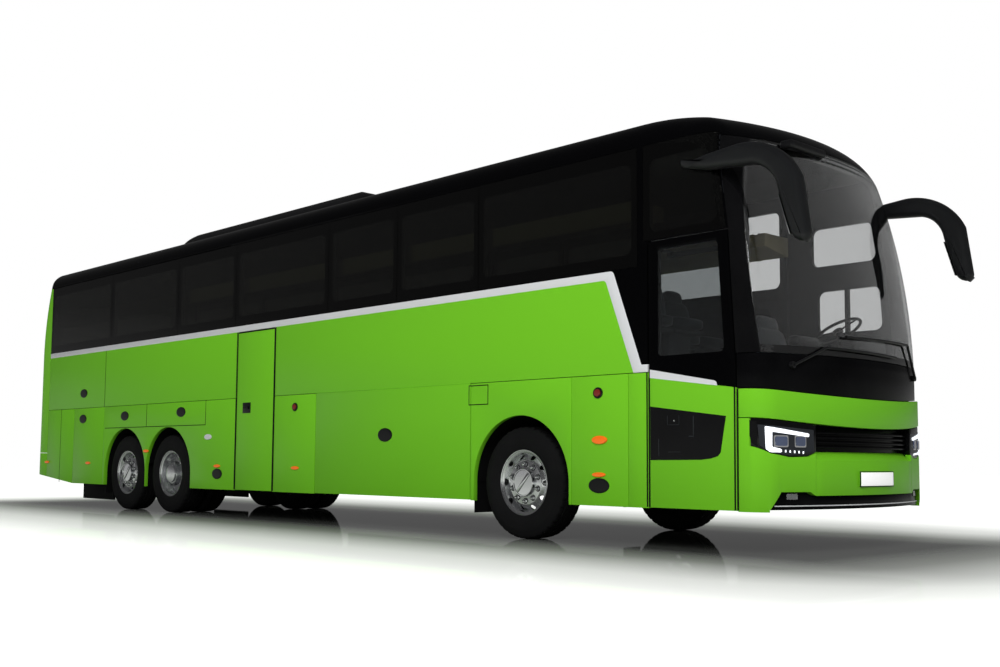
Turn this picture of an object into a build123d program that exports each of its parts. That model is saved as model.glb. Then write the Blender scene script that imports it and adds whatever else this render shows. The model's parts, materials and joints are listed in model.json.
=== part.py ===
from build123d import *
import math
import os

# Three-axle high-deck coach. Millimetres, +X to the front, +Z up, doors on the -Y side,
# origin on the ground under the middle of the whole vehicle.

# Overall sizes
LENGTH = 13600.0
WIDTH = 2550.0
ROOF_Z = 3585.0
MIRROR_REACH = 250.0
SKIRT_Z = 330.0
BELT_Z = 1434.0
STRIPE_Z = 2240.0
SILL_Z = 2312.0
CANT_Z = 3335.0
WALL = 50.0
GLASS = 8.0
SEAM = 6.0
DOOR_GAP = 8.0
FIT = 0.3
RUNNING = 0.05
OVERRUN = 400.0

HALF = WIDTH / 2
X_FACE = (LENGTH - MIRROR_REACH) / 2
X_REAR = -(LENGTH + MIRROR_REACH) / 2

# Nose, dome and tail of the skin
NOSE_SETBACK = 25.0
NOSE_PLAN_R = 3300.0
SCREEN_BASE_Z = 1400.0
SCREEN_LEAN = 18.0
DOME_R = 450.0
CROWN_R = 2400.0
CROWN_TURN = 14.0
REAR_LEAN_Z = 2250.0
REAR_LEAN = 22.0
REAR_EDGE_R = 200.0
EDGE_R = 250.0
X_NOSE = X_FACE - NOSE_SETBACK
X_AXIS = X_NOSE - NOSE_PLAN_R

# Axles and wheels
FRONT_OVERHANG = 2800.0
REAR_OVERHANG = 3050.0
TAG_SPACING = 1220.0
TYRE_R = 508.0
TYRE_W = 290.0
TREAD_W = 236.0
BULGE_R = 420.0
WHEEL_Y = 1090.0
TWIN_PITCH = 330.0
RIM_R = 298.0
RIM_W = 250.0
RIM_BARREL_R = 266.0
RIM_T = 10.0
FLANGE_W = 14.0
ARCH_R = 608.0
HOUSING_R = 625.0
HOUSING_T = 10.0
X_FRONT = X_FACE - FRONT_OVERHANG
X_TAG = X_REAR + REAR_OVERHANG
X_DRIVE = X_TAG + TAG_SPACING

# Doors, flaps and panels along the side, from the tail, the axles or the face of the front
BAND_REAR_RUN = 460.0
TAIL_PANEL_RUN = 1390.0
ARCH_REAR_RUN = 666.0
MIDDLE_DOOR_RUN = 1675.0
MIDDLE_DOOR_W = 824.0
SERVICE_W = 837.0
FLAP_END_RUN = 654.0
ARCH_FRONT_RUN = 641.0
PILLAR_PANEL_BACK = 1521.0
FRONT_DOOR_BACK = 1310.0
FRONT_DOOR_W = 857.0
FRONT_DOOR_TOP = 2510.0
MIDDLE_DOOR_TOP = STRIPE_Z - SEAM
TAIL_RISE = 133.0
X_BAND_REAR = X_REAR + BAND_REAR_RUN
X_TAIL_PANEL = X_REAR + TAIL_PANEL_RUN
X_ARCH_REAR = X_TAG - ARCH_REAR_RUN
MIDDLE_DOOR_X = X_DRIVE + MIDDLE_DOOR_RUN
X_MIDDLE_END = MIDDLE_DOOR_X + MIDDLE_DOOR_W
X_HOLD = X_MIDDLE_END + SERVICE_W
X_FLAP_END = X_FRONT - FLAP_END_RUN
X_ARCH_FRONT_END = X_FRONT + ARCH_FRONT_RUN
X_PILLAR_PANEL = X_FACE - PILLAR_PANEL_BACK
FRONT_DOOR_X = X_FACE - FRONT_DOOR_BACK
X_MODULE = FRONT_DOOR_X + FRONT_DOOR_W

# Seam between the side and the windscreen, as places at three heights
EDGE_TOP_Z = 3290.0
EDGE_BACK_LOW = 66.0
EDGE_BACK_HIGH = 178.0
SCREEN_FOOT_Z = 1540.0
DOME_BACK = 775.0
DOME_SEAM_X = X_FACE - DOME_BACK

# Floors and frame
DECK_Z = 1460.0
DECK_T = 60.0
PLATFORM_Z = 1050.0
PLATFORM_T = 40.0
RAIL_Y = 430.0
RAIL_W = 60.0
RAIL_Z = 640.0
RAIL_H = 140.0
HOLD_Z = 380.0
PLATE = 30.0
LINER = 1225.0

os.makedirs("parts", exist_ok=True)


def save(name, *shapes):
    """Write one node as a set of solids."""
    solids = [s for shape in shapes for s in shape.solids()]
    export_step(Compound(children=solids), f"parts/{name}.step")


def span(x0, x1, y0, y1, z0, z1):
    """A box between two limits on each axis."""
    centre = Pos((x0 + x1) / 2, (y0 + y1) / 2, (z0 + z1) / 2)
    return centre * Box(abs(x1 - x0), abs(y1 - y0), abs(z1 - z0))


def polygon(points, radius=0.0):
    face = make_face(Polyline(*points, close=True))
    return fillet(face.vertices(), radius) if radius else face


def side_prism(face, y0, y1):
    """An outline of (x, z) points made solid between two y."""
    low, high = min(y0, y1), max(y0, y1)
    return Pos(0, high, 0) * extrude(Plane.XZ * face, amount=high - low)


def front_prism(face, x0, x1):
    """An outline of (y, z) points made solid between two x."""
    return Pos(x0, 0, 0) * extrude(Plane.YZ * face, amount=x1 - x0)


def plan_prism(face, z0, z1):
    """An outline of (x, y) points made solid between two z."""
    return Pos(0, 0, z0) * extrude(face, amount=z1 - z0)


def across(x, y, z, radius, length):
    """A round bar along Y, from y on by length, which may be negative."""
    return Pos(x, y + length / 2, z) * Rot(90, 0, 0) * Cylinder(radius, abs(length))


def upright(x, y, z0, z1, radius):
    return Pos(x, y, (z0 + z1) / 2) * Cylinder(radius, z1 - z0)


def rod(start, end, radius):
    """A round bar between two points."""
    a, b = Vector(*start), Vector(*end)
    line = b - a
    return extrude(Plane(origin=a, z_dir=line) * Circle(radius), amount=line.length)


def twin(shape):
    """The shape and its mirror image on the other side."""
    return [shape, mirror(shape, about=Plane.XZ)]


def on_side(shape, side):
    return shape if side < 0 else mirror(shape, about=Plane.XZ)


# The skin


def polar(centre, radius, angle):
    turn = math.radians(angle)
    return (centre[0] + radius * math.cos(turn), centre[1] + radius * math.sin(turn))


def chain(start, arcs):
    """Tangent arcs from a start point, each as its radius and its normals' first and last angle."""
    edges = []
    point = start
    for radius, first, last in arcs:
        centre = polar(point, radius, first + 180)
        edges.append(CenterArc(centre, radius, first, last - first))
        point = polar(centre, radius, last)
    return edges, point


def profile(x_wall, z_base, x_back, arcs):
    edges, end = chain((x_wall, z_base), arcs)
    lines = [
        Line((x_back, SKIRT_Z), (x_wall, SKIRT_Z)),
        Line((x_wall, SKIRT_Z), (x_wall, z_base)),
        *edges,
        Line(end, (x_back, end[1])),
        Line((x_back, end[1]), (x_back, SKIRT_Z)),
    ]
    return Plane.XZ * make_face(lines)


def body_form(inset):
    """The closed outer form of the coach, or the form that lies inset inside it."""
    crown, lean, rear = (math.radians(a) for a in (CROWN_TURN, SCREEN_LEAN, REAR_LEAN))
    top = ROOF_Z - CROWN_R * (1 - math.cos(crown)) - DOME_R * (math.cos(crown) - math.sin(lean))
    screen_r = (top - SCREEN_BASE_Z) / math.sin(lean)
    nose_arcs = [
        (screen_r - inset, 0, SCREEN_LEAN),
        (DOME_R - inset, SCREEN_LEAN, 90 - CROWN_TURN),
        (CROWN_R - inset, 90 - CROWN_TURN, 90),
    ]
    nose = profile(X_NOSE - inset, SCREEN_BASE_Z, X_AXIS, nose_arcs)
    half = HALF - inset
    turn_line = Axis((X_AXIS, 0, 0), (0, 0, 1))
    front = revolve(nose.rotate(turn_line, -90), turn_line, 180)
    front = front & span(X_AXIS, X_NOSE, -half, half, 0, ROOF_Z)
    rise = ROOF_Z - REAR_EDGE_R * (1 - math.sin(rear)) - REAR_LEAN_Z
    rear_arcs = [
        (rise / math.sin(rear) - inset, 180, 180 - REAR_LEAN),
        (REAR_EDGE_R - inset, 180 - REAR_LEAN, 90),
    ]
    tail = profile(X_REAR + inset, REAR_LEAN_Z, X_AXIS, rear_arcs)
    whole = (front + extrude(tail, amount=half, both=True)).clean()
    sharp = [e for e in whole.edges() if abs(abs(e.center().Y) - half) < FIT and e.center().Z > SKIRT_Z + FIT]
    return fillet(sharp, EDGE_R - inset)


OUTER = body_form(0.0)
BEHIND_GLASS = body_form(GLASS)
INNER = body_form(WALL)
SKIN = OUTER - INNER
GLAZING = OUTER - BEHIND_GLASS


def edge_x(z):
    """Where the seam between side and windscreen lies at a height."""
    if z <= BELT_Z:
        return X_MODULE
    if z <= FRONT_DOOR_TOP:
        return X_MODULE - EDGE_BACK_LOW * (z - BELT_Z) / (FRONT_DOOR_TOP - BELT_Z)
    step = (z - FRONT_DOOR_TOP) / (EDGE_TOP_Z - FRONT_DOOR_TOP)
    return X_MODULE - EDGE_BACK_LOW - (EDGE_BACK_HIGH - EDGE_BACK_LOW) * step


def side_cut(face, side):
    return side_prism(face, 0, side * (HALF + OVERRUN))


# The side walls: green panels below, a pale stripe, and a black band that holds the glass

STRIPE_BEND_BACK = 1770.0
STRIPE_FOOT_BACK = 1466.0
STRIPE_BEND_X = X_FACE - STRIPE_BEND_BACK
STRIPE_FOOT_X = X_FACE - STRIPE_FOOT_BACK
STRIPE_RUN = 85.0
STRIPE_LOW = BELT_Z + SEAM / 2
STRIPE_STEP = 62.0
STRIPE_BEND_R = 45.0
POST_W = 60.0
POST_D = 40.0
PANE_BORDER = 70.0
PANE_R = 70.0
PANE_LOW = 2430.0
PANE_HIGH = 3200.0
SEAT_Z = 2316.0
LAST_PANE_BACK = 1419.0
LEFT_PANE_BACKS = [2149.0, 1579.0]
# Seams between the panes, as shares of the row of panes from its rear end
PANE_SHARES = [0.176, 0.340, 0.462, 0.626, 0.729, 0.834]
X_LAST_PANE = X_FACE - LAST_PANE_BACK
PANE_SEAMS = [X_BAND_REAR + share * (X_LAST_PANE - X_BAND_REAR) for share in PANE_SHARES]
LEFT_PANE_SEAMS = [X_FACE - back for back in LEFT_PANE_BACKS]
UPPER_GAP_Z = FRONT_DOOR_TOP + SEAM
DRIVER_PANE_LOW = 1935.0
DRIVER_PANE_HIGH = 2345.0
DRIVER_POST_BACK = 930.0
DRIVER_POST_X = X_FACE - DRIVER_POST_BACK
DRIVER_POST_W = 34.0
UPPER_PANE_LOW = 2590.0
LEFT_UPPER_PANE_HIGH = 2960.0


def tail_cut():
    """What is cut away under the tail, where the skirt rises to clear a ramp."""
    face = polygon([
        (X_TAIL_PANEL, SKIRT_Z - OVERRUN),
        (X_TAIL_PANEL, SKIRT_Z),
        (X_REAR - SEAM, SKIRT_Z + TAIL_RISE),
        (X_REAR - SEAM, SKIRT_Z - OVERRUN),
    ])
    return side_prism(face, -HALF - OVERRUN, HALF + OVERRUN)


def arch_cut(x, radius):
    """The hole of a wheel arch through both sides."""
    round_part = across(x, -HALF - OVERRUN, TYRE_R, radius, 2 * (HALF + OVERRUN))
    foot = span(x - radius, x + radius, -HALF - OVERRUN, HALF + OVERRUN, 0, TYRE_R)
    return round_part + foot


def skirt_panels():
    """The lower green panels, from a table of their ends and the sides that have them."""
    both = (-1, 1)
    panels = [
        (X_BAND_REAR, X_TAIL_PANEL, both),
        (X_TAIL_PANEL, X_ARCH_REAR, both),
        (X_ARCH_REAR, MIDDLE_DOOR_X, both),
        (MIDDLE_DOOR_X, X_MIDDLE_END, (1,)),
        (X_MIDDLE_END, X_HOLD, both),
        (X_FLAP_END, X_ARCH_FRONT_END, both),
        (X_ARCH_FRONT_END, X_PILLAR_PANEL, both),
        (X_PILLAR_PANEL, FRONT_DOOR_X, both),
        (FRONT_DOOR_X, X_MODULE, (1,)),
    ]
    arches = arch_cut(X_FRONT, ARCH_R) + arch_cut(X_DRIVE, ARCH_R) + arch_cut(X_TAG, ARCH_R)
    cuts = arches + tail_cut()
    solids = []
    for start, end, sides in panels:
        for side in sides:
            low, high = sorted((side * HALF, side * LINER))
            sheet = span(start + SEAM / 2, end - SEAM / 2, low, high, SKIRT_Z, BELT_Z - SEAM / 2)
            solids.append(sheet - cuts)
    save("skirt_panels", *solids)


def stripe_line(offset):
    """The bend, the foot and the end of the line between green and black, moved by an offset."""
    return [
        (STRIPE_BEND_X + offset * STRIPE_RUN, STRIPE_Z + offset * (SILL_Z - STRIPE_Z)),
        (STRIPE_FOOT_X + offset * STRIPE_RUN, STRIPE_LOW + offset * STRIPE_STEP),
        (FRONT_DOOR_X - SEAM, STRIPE_LOW + offset * STRIPE_STEP),
    ]


def bend_round(face):
    """Rounds an outline where the stripe bends down."""
    bends = [v for v in face.vertices() if -FIT < v.X - STRIPE_BEND_X < STRIPE_RUN + FIT]
    return fillet(bends, STRIPE_BEND_R)


def side_panels():
    """The tall green panels between the belt and the stripe."""
    bend, foot, end = stripe_line(0)
    face = bend_round(polygon([(X_BAND_REAR, STRIPE_LOW), (X_BAND_REAR, STRIPE_Z), bend, foot]))
    right = side_prism(face, -HALF, -LINER)
    hole = span(MIDDLE_DOOR_X, X_MIDDLE_END, -HALF, -LINER, STRIPE_LOW, STRIPE_Z)
    save("side_panels", right - hole, mirror(right, about=Plane.XZ))


def waist_trim():
    """The pale stripe, which drops ahead of the last window and runs on over the door."""
    low, high = stripe_line(0), stripe_line(1)
    face = polygon([(X_BAND_REAR, STRIPE_Z), *low, *high[::-1], (X_BAND_REAR, SILL_Z)])
    save("waist_trim", *twin(side_prism(bend_round(face), -HALF, -LINER)))


def band_face(side):
    """The black wall's outline, down to the belt ahead of the stripe."""
    bend, foot, end = stripe_line(1)
    last = FRONT_DOOR_X - SEAM
    points = [(X_BAND_REAR, CANT_Z), (X_BAND_REAR, SILL_Z), bend, foot, end]
    if side < 0:
        points += [(last, UPPER_GAP_Z)]
    else:
        foot_x = edge_x(end[1]) - SEAM / 2
        points += [(foot_x, end[1])]
    points += [
        (edge_x(FRONT_DOOR_TOP) - SEAM / 2, UPPER_GAP_Z),
        (edge_x(CANT_Z) - SEAM / 2, CANT_Z),
    ]
    return bend_round(polygon(points))


def pane_seams(side):
    """The ends of the long row of panes: the left side has a short pane ahead of the driver's partition."""
    return PANE_SEAMS + ([X_LAST_PANE] if side < 0 else LEFT_PANE_SEAMS)


def pane_table(side):
    """The panes: rear end, front end (none where the screen's seam ends it), edges, and hole heights."""
    seams = [X_BAND_REAR, *pane_seams(side)]
    panes = [(a, b, SEAT_Z, CANT_Z - SEAM, PANE_LOW, PANE_HIGH) for a, b in zip(seams, seams[1:])]
    hole_top = PANE_HIGH if side < 0 else LEFT_UPPER_PANE_HIGH
    panes.append((X_LAST_PANE + POST_W, None, UPPER_GAP_Z + SEAM, CANT_Z - SEAM, UPPER_PANE_LOW, hole_top))
    if side > 0:
        low = STRIPE_LOW + STRIPE_STEP + SEAM
        panes.append((FRONT_DOOR_X + SEAM, None, low, UPPER_GAP_Z - SEAM, DRIVER_PANE_LOW, DRIVER_PANE_HIGH))
    return panes


def pane_face(x0, x1, z0, z1, inset):
    """A pane's outline, or one that lies inset in it, whose front edge may follow the screen's seam."""
    low, high = z0 + inset, z1 - inset
    ends = [edge_x(z) - 2 * SEAM if x1 is None else x1 for z in (low, high)]
    return polygon([(x0 + inset, low), (ends[0] - inset, low), (ends[1] - inset, high), (x0 + inset, high)])


def hole_outline(x0, x1, low, high):
    """The frame's round-cornered hole behind a pane."""
    ends = [edge_x(z) - 2 * SEAM if x1 is None else x1 for z in (low, high)]
    border = PANE_BORDER
    points = [(x0 + border, low), (ends[0] - border, low), (ends[1] - border, high), (x0 + border, high)]
    return polygon(points, PANE_R)


def driver_post():
    """The post between the fixed and the sliding part of the driver's window."""
    half = DRIVER_POST_W / 2
    low, high = DRIVER_PANE_LOW, DRIVER_PANE_HIGH
    return span(DRIVER_POST_X - half, DRIVER_POST_X + half, 0, HALF + OVERRUN, low, high)


def band_and_glass():
    """The black side walls with their window holes, and the flush panes over them."""
    walls, panes = [], []
    for side in (-1, 1):
        wall = SKIN & side_cut(band_face(side), side)
        for x0, x1, z0, z1, hole_low, hole_high in pane_table(side):
            glass = GLAZING & side_cut(pane_face(x0, x1, z0, z1, SEAM / 2), side)
            seat = GLAZING & side_cut(pane_face(x0, x1, z0, z1, 0.0), side)
            hole = side_cut(hole_outline(x0, x1, hole_low, hole_high), side)
            if hole_low == DRIVER_PANE_LOW:
                hole = hole - driver_post()
            panes.append(glass)
            wall = wall - seat - hole
        walls.append(wall)
    save("side_walls", *walls)
    save("side_windows", *panes)


def pillars():
    """The posts behind the panes, from the deck to the roof."""
    posts = []
    for side in (-1, 1):
        for x in [X_BAND_REAR + POST_W, *pane_seams(side)]:
            post = span(x - POST_W / 2, x + POST_W / 2, -LINER, POST_D - LINER, DECK_Z, CANT_Z)
            posts.append(on_side(post, side))
    save("pillars", *posts)


# Roof

AC_L = 4400.0
AC_BACK = 5505.0
AC_FRONT_X = X_FACE - AC_BACK
AC_REAR_X = AC_FRONT_X - AC_L
AC_HALF = 870.0
AC_H = 195.0
AC_END_RUN = 520.0
AC_SHOULDER = 150.0
HATCH_L = 900.0
HATCH_W = 700.0
HATCH_H = 45.0
HATCH_R = 90.0
HATCH_BACK = 3625.0
HATCH_REAR_RUN = 1775.0
HATCH_XS = [X_REAR + HATCH_REAR_RUN, X_FACE - HATCH_BACK]


def dome_face():
    foot = EDGE_TOP_Z + SEAM
    return polygon([
        (DOME_SEAM_X, CANT_Z),
        (edge_x(CANT_Z) + SEAM / 2, CANT_Z),
        (edge_x(foot) + SEAM / 2, foot),
        (X_FACE, foot),
        (X_FACE, ROOF_Z + OVERRUN),
        (DOME_SEAM_X, ROOF_Z + OVERRUN),
    ])


def roof():
    """The long roof with its round edges, and the domed cap over the windscreen."""
    long_part = span(X_REAR, DOME_SEAM_X, -HALF, HALF, CANT_Z, ROOF_Z)
    save("roof_panel", SKIN & long_part)
    save("roof_dome", SKIN & side_prism(dome_face(), -HALF, HALF))


def ac_unit():
    """The roof unit: a long low hood with drawn-down ends and round shoulders."""
    ends = hood_outline(AC_REAR_X, AC_FRONT_X, AC_END_RUN)
    section = hood_outline(-AC_HALF, AC_HALF, AC_SHOULDER)
    hood = side_prism(ends, -AC_HALF, AC_HALF) & front_prism(section, AC_REAR_X, AC_FRONT_X)
    save("ac_unit", hood)


def hood_outline(low, high, run):
    """A flat-topped outline on the roof whose ends are arcs tangent to the top."""
    radius = (run * run + AC_H * AC_H) / (2 * AC_H)
    half_turn = math.acos(1 - AC_H / radius) / 2
    top = ROOF_Z + AC_H
    side, drop = radius * math.sin(half_turn), radius * (1 - math.cos(half_turn))
    return make_face([
        Line((low, ROOF_Z), (high, ROOF_Z)),
        ThreePointArc((high, ROOF_Z), (high - run + side, top - drop), (high - run, top)),
        Line((high - run, top), (low + run, top)),
        ThreePointArc((low + run, top), (low + run - side, top - drop), (low, ROOF_Z)),
    ])


def roof_hatches():
    """Two escape hatches, each a low lid with round corners."""
    lids = []
    for x in HATCH_XS:
        lid = RectangleRounded(HATCH_L, HATCH_W, HATCH_R)
        lids.append(Pos(x, 0, ROOF_Z) * extrude(lid, amount=HATCH_H))
    save("roof_hatches", *lids)


# Front end: scuttle, belt, grille, lamps and bumper on one curved plan

BELT_TOP = 1265.0
BELT_TOP_DIP = 51.0
BELT_FOOT = 1046.0
BELT_FOOT_DIP = 66.0
CENTRE_HALF = 760.0
BUMPER_TOP = 722.0
BUMPER_FOOT = 452.0
LEDGE_TOP = 788.0
LEDGE_DEPTH = 80.0
LEDGE_T = 14.0
LAMP_HALF = 1275.0
LAMP_DEPTH = 100.0
LAMP_BACK = 345.0
LAMP_END_X = X_FACE - LAMP_BACK
LAMP_FOOT = 751.0
LAMP_INNER_FOOT = 786.0
LAMP_KNEE_Y = 1017.0
LAMP_CHEEK_Y = 1171.0
LAMP_CHEEK_Z = 778.0
LAMP_SIDE_Z = 845.0
LAMP_TOP = 1075.0
GRILLE_DEPTH = 100.0
GRILLE_T = 12.0
GRILLE_BAR = 50.0
GRILLE_BAR_H = 16.0
GRILLE_BARS = 4
GRILLE_TOP = 972.0
FRONT_BEAM_Z = 640.0
FRONT_BEAM_H = 60.0
FRONT_BEAM_D = 150.0
LAMP_POST_Y = 1000.0
LAMP_POST_W = 60.0
LIP_INSET = 30.0
LIP_FOOT = 346.0
FOG_TOP = 476.0
FOG_INNER = 830.0
FOG_OUTER = 1090.0
LIP_END = 1176.0
FOG_SLOPE = 60.0
FRAME_BORDER = 110.0
FRAME_SILL = 60.0
FRAME_HEAD = 100.0
PLATE_H = 110.0
PLATE_W = 520.0
PLATE_T = 8.0
PLATE_Z = 577.0


def nose_block(inset, z0, z1):
    """The front end's plan, which stands proud of the skin, between two heights."""
    radius = NOSE_PLAN_R + NOSE_SETBACK - inset
    half = HALF - inset
    disc = Pos(X_AXIS, 0, (z0 + z1) / 2) * Cylinder(radius, z1 - z0)
    block = disc & span(X_PILLAR_PANEL, X_FACE, -half, half, z0, z1)
    corners = [e for e in block.edges().filter_by(GeomType.LINE).filter_by(Axis.Z) if e.center().X > X_MODULE]
    return fillet(corners, EDGE_R - inset)


def nose_shell(z0, z1, near=0.0, far=WALL):
    shell = nose_block(near, z0, z1) - nose_block(far, z0, z1)
    return shell & span(X_MODULE + SEAM / 2, X_FACE, -HALF, HALF, z0, z1)


def sagging(z_side, dip):
    """A shallow arc across the front, lower in the middle than at the sides."""
    wide = HALF + SEAM
    return ThreePointArc((-wide, z_side), (0, z_side - dip), (wide, z_side))


def below_arc(z_side, dip, z_low):
    wide = HALF + SEAM
    arc = sagging(z_side, dip)
    return make_face([
        arc,
        Line((wide, z_side), (wide, z_low)),
        Line((wide, z_low), (-wide, z_low)),
        Line((-wide, z_low), (-wide, z_side)),
    ])


def front_band():
    """The green belt between scuttle and grille."""
    top = front_prism(below_arc(BELT_TOP, BELT_TOP_DIP, BUMPER_TOP), X_MODULE, X_FACE)
    foot = front_prism(below_arc(BELT_FOOT, BELT_FOOT_DIP, BUMPER_TOP - SEAM), X_MODULE, X_FACE)
    save("front_band", (nose_shell(BUMPER_TOP, BELT_Z) & top) - foot)


def lamp_outline(gap):
    """One lamp's outline seen from the front, widened by a gap."""
    return polygon([
        (-CENTRE_HALF + SEAM + gap, LAMP_TOP),
        (-CENTRE_HALF + SEAM + gap, LAMP_INNER_FOOT - gap),
        (-CENTRE_HALF - LEDGE_DEPTH, LAMP_INNER_FOOT - FOG_SLOPE / 2 - gap),
        (-LAMP_KNEE_Y, LAMP_FOOT - gap),
        (-LAMP_CHEEK_Y, LAMP_CHEEK_Z - gap),
        (-LAMP_HALF - SEAM, LAMP_SIDE_Z - gap),
        (-LAMP_HALF - SEAM, LAMP_TOP),
    ])


def headlamps():
    """The lamp units, which wrap round the corners, with their bodies behind the lenses."""
    block = nose_shell(LAMP_FOOT, LAMP_TOP, SEAM, SEAM + LAMP_DEPTH)
    foot = front_prism(below_arc(BELT_FOOT - SEAM, BELT_FOOT_DIP, LAMP_FOOT - SEAM), X_MODULE, X_FACE)
    lamp = (block & front_prism(lamp_outline(0), LAMP_END_X, X_FACE)) & foot
    save("headlamps", *twin(lamp))


def lip_outline(gap):
    """The black lip's outline with its two raised lamp bays, widened by a gap."""
    points = [
        (-LIP_END - gap, LIP_FOOT - OVERRUN),
        (-LIP_END - gap, LIP_FOOT),
        (-FOG_OUTER - gap, FOG_TOP + gap),
        (-FOG_INNER + gap, FOG_TOP + gap),
        (-FOG_INNER + FOG_SLOPE, BUMPER_FOOT - SEAM + gap),
    ]
    return polygon(points + [(-y, z) for y, z in points[::-1]])


def front_bumper():
    """The bumper: two corner pieces round the lamps and a middle with an inward ledge."""
    low = nose_shell(SKIRT_Z, BELT_FOOT)
    below = front_prism(below_arc(BELT_FOOT - SEAM, BELT_FOOT_DIP, SKIRT_Z - SEAM), X_MODULE, X_FACE)
    low = (low & below) - front_prism(lip_outline(SEAM), X_MODULE, X_FACE)
    corner = low & span(X_MODULE, X_FACE, -HALF, -CENTRE_HALF + SEAM / 2, SKIRT_Z, BELT_FOOT)
    corner = corner - front_prism(lamp_outline(SEAM), LAMP_END_X - SEAM, X_FACE)
    middle_half = CENTRE_HALF - SEAM
    middle = low & span(X_MODULE, X_FACE, -middle_half, middle_half, SKIRT_Z, BUMPER_TOP)
    face_r = NOSE_PLAN_R + NOSE_SETBACK
    ledge_face = Plane.XZ * make_face(Polyline(
        (face_r, BUMPER_TOP), (face_r - LEDGE_DEPTH, LEDGE_TOP),
        (face_r - LEDGE_DEPTH, LEDGE_TOP - LEDGE_T), (face_r - WALL, BUMPER_TOP - LEDGE_T),
        (face_r - WALL, BUMPER_TOP - WALL), (face_r, BUMPER_TOP - WALL), close=True))
    ledge = Pos(X_AXIS, 0, 0) * revolve(ledge_face, Axis.Z, 360)
    ledge = ledge & span(X_MODULE, X_FACE, -middle_half, middle_half, SKIRT_Z, LEDGE_TOP)
    plate = span(X_FACE - LEDGE_T, X_FACE + PLATE_T, -PLATE_W / 2, PLATE_W / 2, PLATE_Z - PLATE_H / 2,
                 PLATE_Z + PLATE_H / 2)
    save("front_bumper", *twin(corner), (middle + ledge).clean() + plate)


def front_trim():
    """Black parts: the scuttle under the glass, the barred grille and the lower lip."""
    x_end = edge_x(SCREEN_BASE_Z) + SEAM / 2
    scuttle = SKIN & span(x_end, X_FACE, -HALF, HALF, BELT_FOOT, SCREEN_FOOT_Z - SEAM)
    scuttle = scuttle - front_prism(below_arc(BELT_TOP + SEAM, BELT_TOP_DIP, SKIRT_Z), X_MODULE, X_FACE)
    back = NOSE_PLAN_R + NOSE_SETBACK - GRILLE_DEPTH
    front = back + GRILLE_T
    base = FRONT_BEAM_Z + FRONT_BEAM_H
    pitch = (GRILLE_TOP - LEDGE_TOP) / (GRILLE_BARS + 1)
    points = [(back, base), (front, base)]
    for k in range(1, GRILLE_BARS + 1):
        middle = LEDGE_TOP + k * pitch
        low, high = middle - GRILLE_BAR_H / 2, middle + GRILLE_BAR_H / 2
        points += [(front, low), (front + GRILLE_BAR, low), (front + GRILLE_BAR, high), (front, high)]
    points += [(front, PLATFORM_Z - PLATFORM_T), (back, PLATFORM_Z - PLATFORM_T)]
    comb = Pos(X_AXIS, 0, 0) * revolve(Plane.XZ * polygon(points), Axis.Z, 360)
    comb = comb & span(X_MODULE, X_FACE, -CENTRE_HALF + SEAM, CENTRE_HALF - SEAM, SKIRT_Z, BELT_Z)
    lip = nose_shell(LIP_FOOT, FOG_TOP, LIP_INSET, LIP_INSET + WALL)
    lip = lip & front_prism(lip_outline(0), X_MODULE, X_FACE)
    save("front_trim", scuttle, comb, lip)


def front_frame():
    """The hidden bumper beam and the four posts that carry lamps and grille."""
    beam = nose_shell(FRONT_BEAM_Z, FRONT_BEAM_Z + FRONT_BEAM_H, WALL, FRONT_BEAM_D)
    beam = beam & span(X_MODULE, X_FACE, -HALF + WALL, HALF - WALL, SKIRT_Z, BELT_Z)
    top = FRONT_BEAM_Z + FRONT_BEAM_H
    ring = nose_shell(top, PLATFORM_Z - PLATFORM_T, SEAM + LAMP_DEPTH, FRONT_BEAM_D)
    post = ring & span(X_MODULE, X_FACE, -LAMP_POST_Y - LAMP_POST_W / 2, -LAMP_POST_Y + LAMP_POST_W / 2, top,
                       PLATFORM_Z)
    lip_ring = nose_shell(BUMPER_FOOT - WALL, FRONT_BEAM_Z, LIP_INSET + WALL, FRONT_BEAM_D)
    hanger = lip_ring & span(X_MODULE, X_FACE, -LAMP_POST_Y, -LAMP_POST_Y + LAMP_POST_W, SKIRT_Z, FRONT_BEAM_Z)
    save("front_frame", beam + post + mirror(post, about=Plane.XZ) + hanger + mirror(hanger, about=Plane.XZ))


def screen_face(foot, head, border):
    """The windscreen's side outline, its rear edge moved forward by a border."""
    return polygon([
        (edge_x(foot) + SEAM / 2 + border, foot),
        (edge_x(FRONT_DOOR_TOP) + SEAM / 2 + border, FRONT_DOOR_TOP),
        (edge_x(EDGE_TOP_Z) + SEAM / 2 + border, head),
        (X_FACE, head),
        (X_FACE, foot),
    ])


def windscreen():
    """The curved pane and the frame behind its black border."""
    glass = side_prism(screen_face(SCREEN_FOOT_Z, EDGE_TOP_Z, 0.0), -HALF, HALF)
    save("windscreen", GLAZING & glass)
    outer = side_prism(screen_face(SCREEN_FOOT_Z, EDGE_TOP_Z + SEAM, 0.0), -HALF, HALF)
    hole = screen_face(SCREEN_FOOT_Z + FRAME_SILL, EDGE_TOP_Z - FRAME_HEAD, FRAME_BORDER)
    save("windscreen_frame", ((BEHIND_GLASS - INNER) & outer) - side_prism(hole, -HALF, HALF))


# Tail

LID_HALF = 840.0
LID_TOP = 1990.0
LID_RECESS = 4.0
HINGE_R = 3.0
LAMP_LOW = 860.0
LAMP_HIGH = 1560.0
LAMP_IN = 862.0
LAMP_OUT = 1030.0
REAR_BUMPER_TOP = 780.0
REAR_PANE_LOW = 2400.0
REAR_PANE_HIGH = 3180.0
REAR_PANE_HALF = 985.0
REAR_PANE_R = 110.0
REAR_PANE_LAP = 55.0


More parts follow.
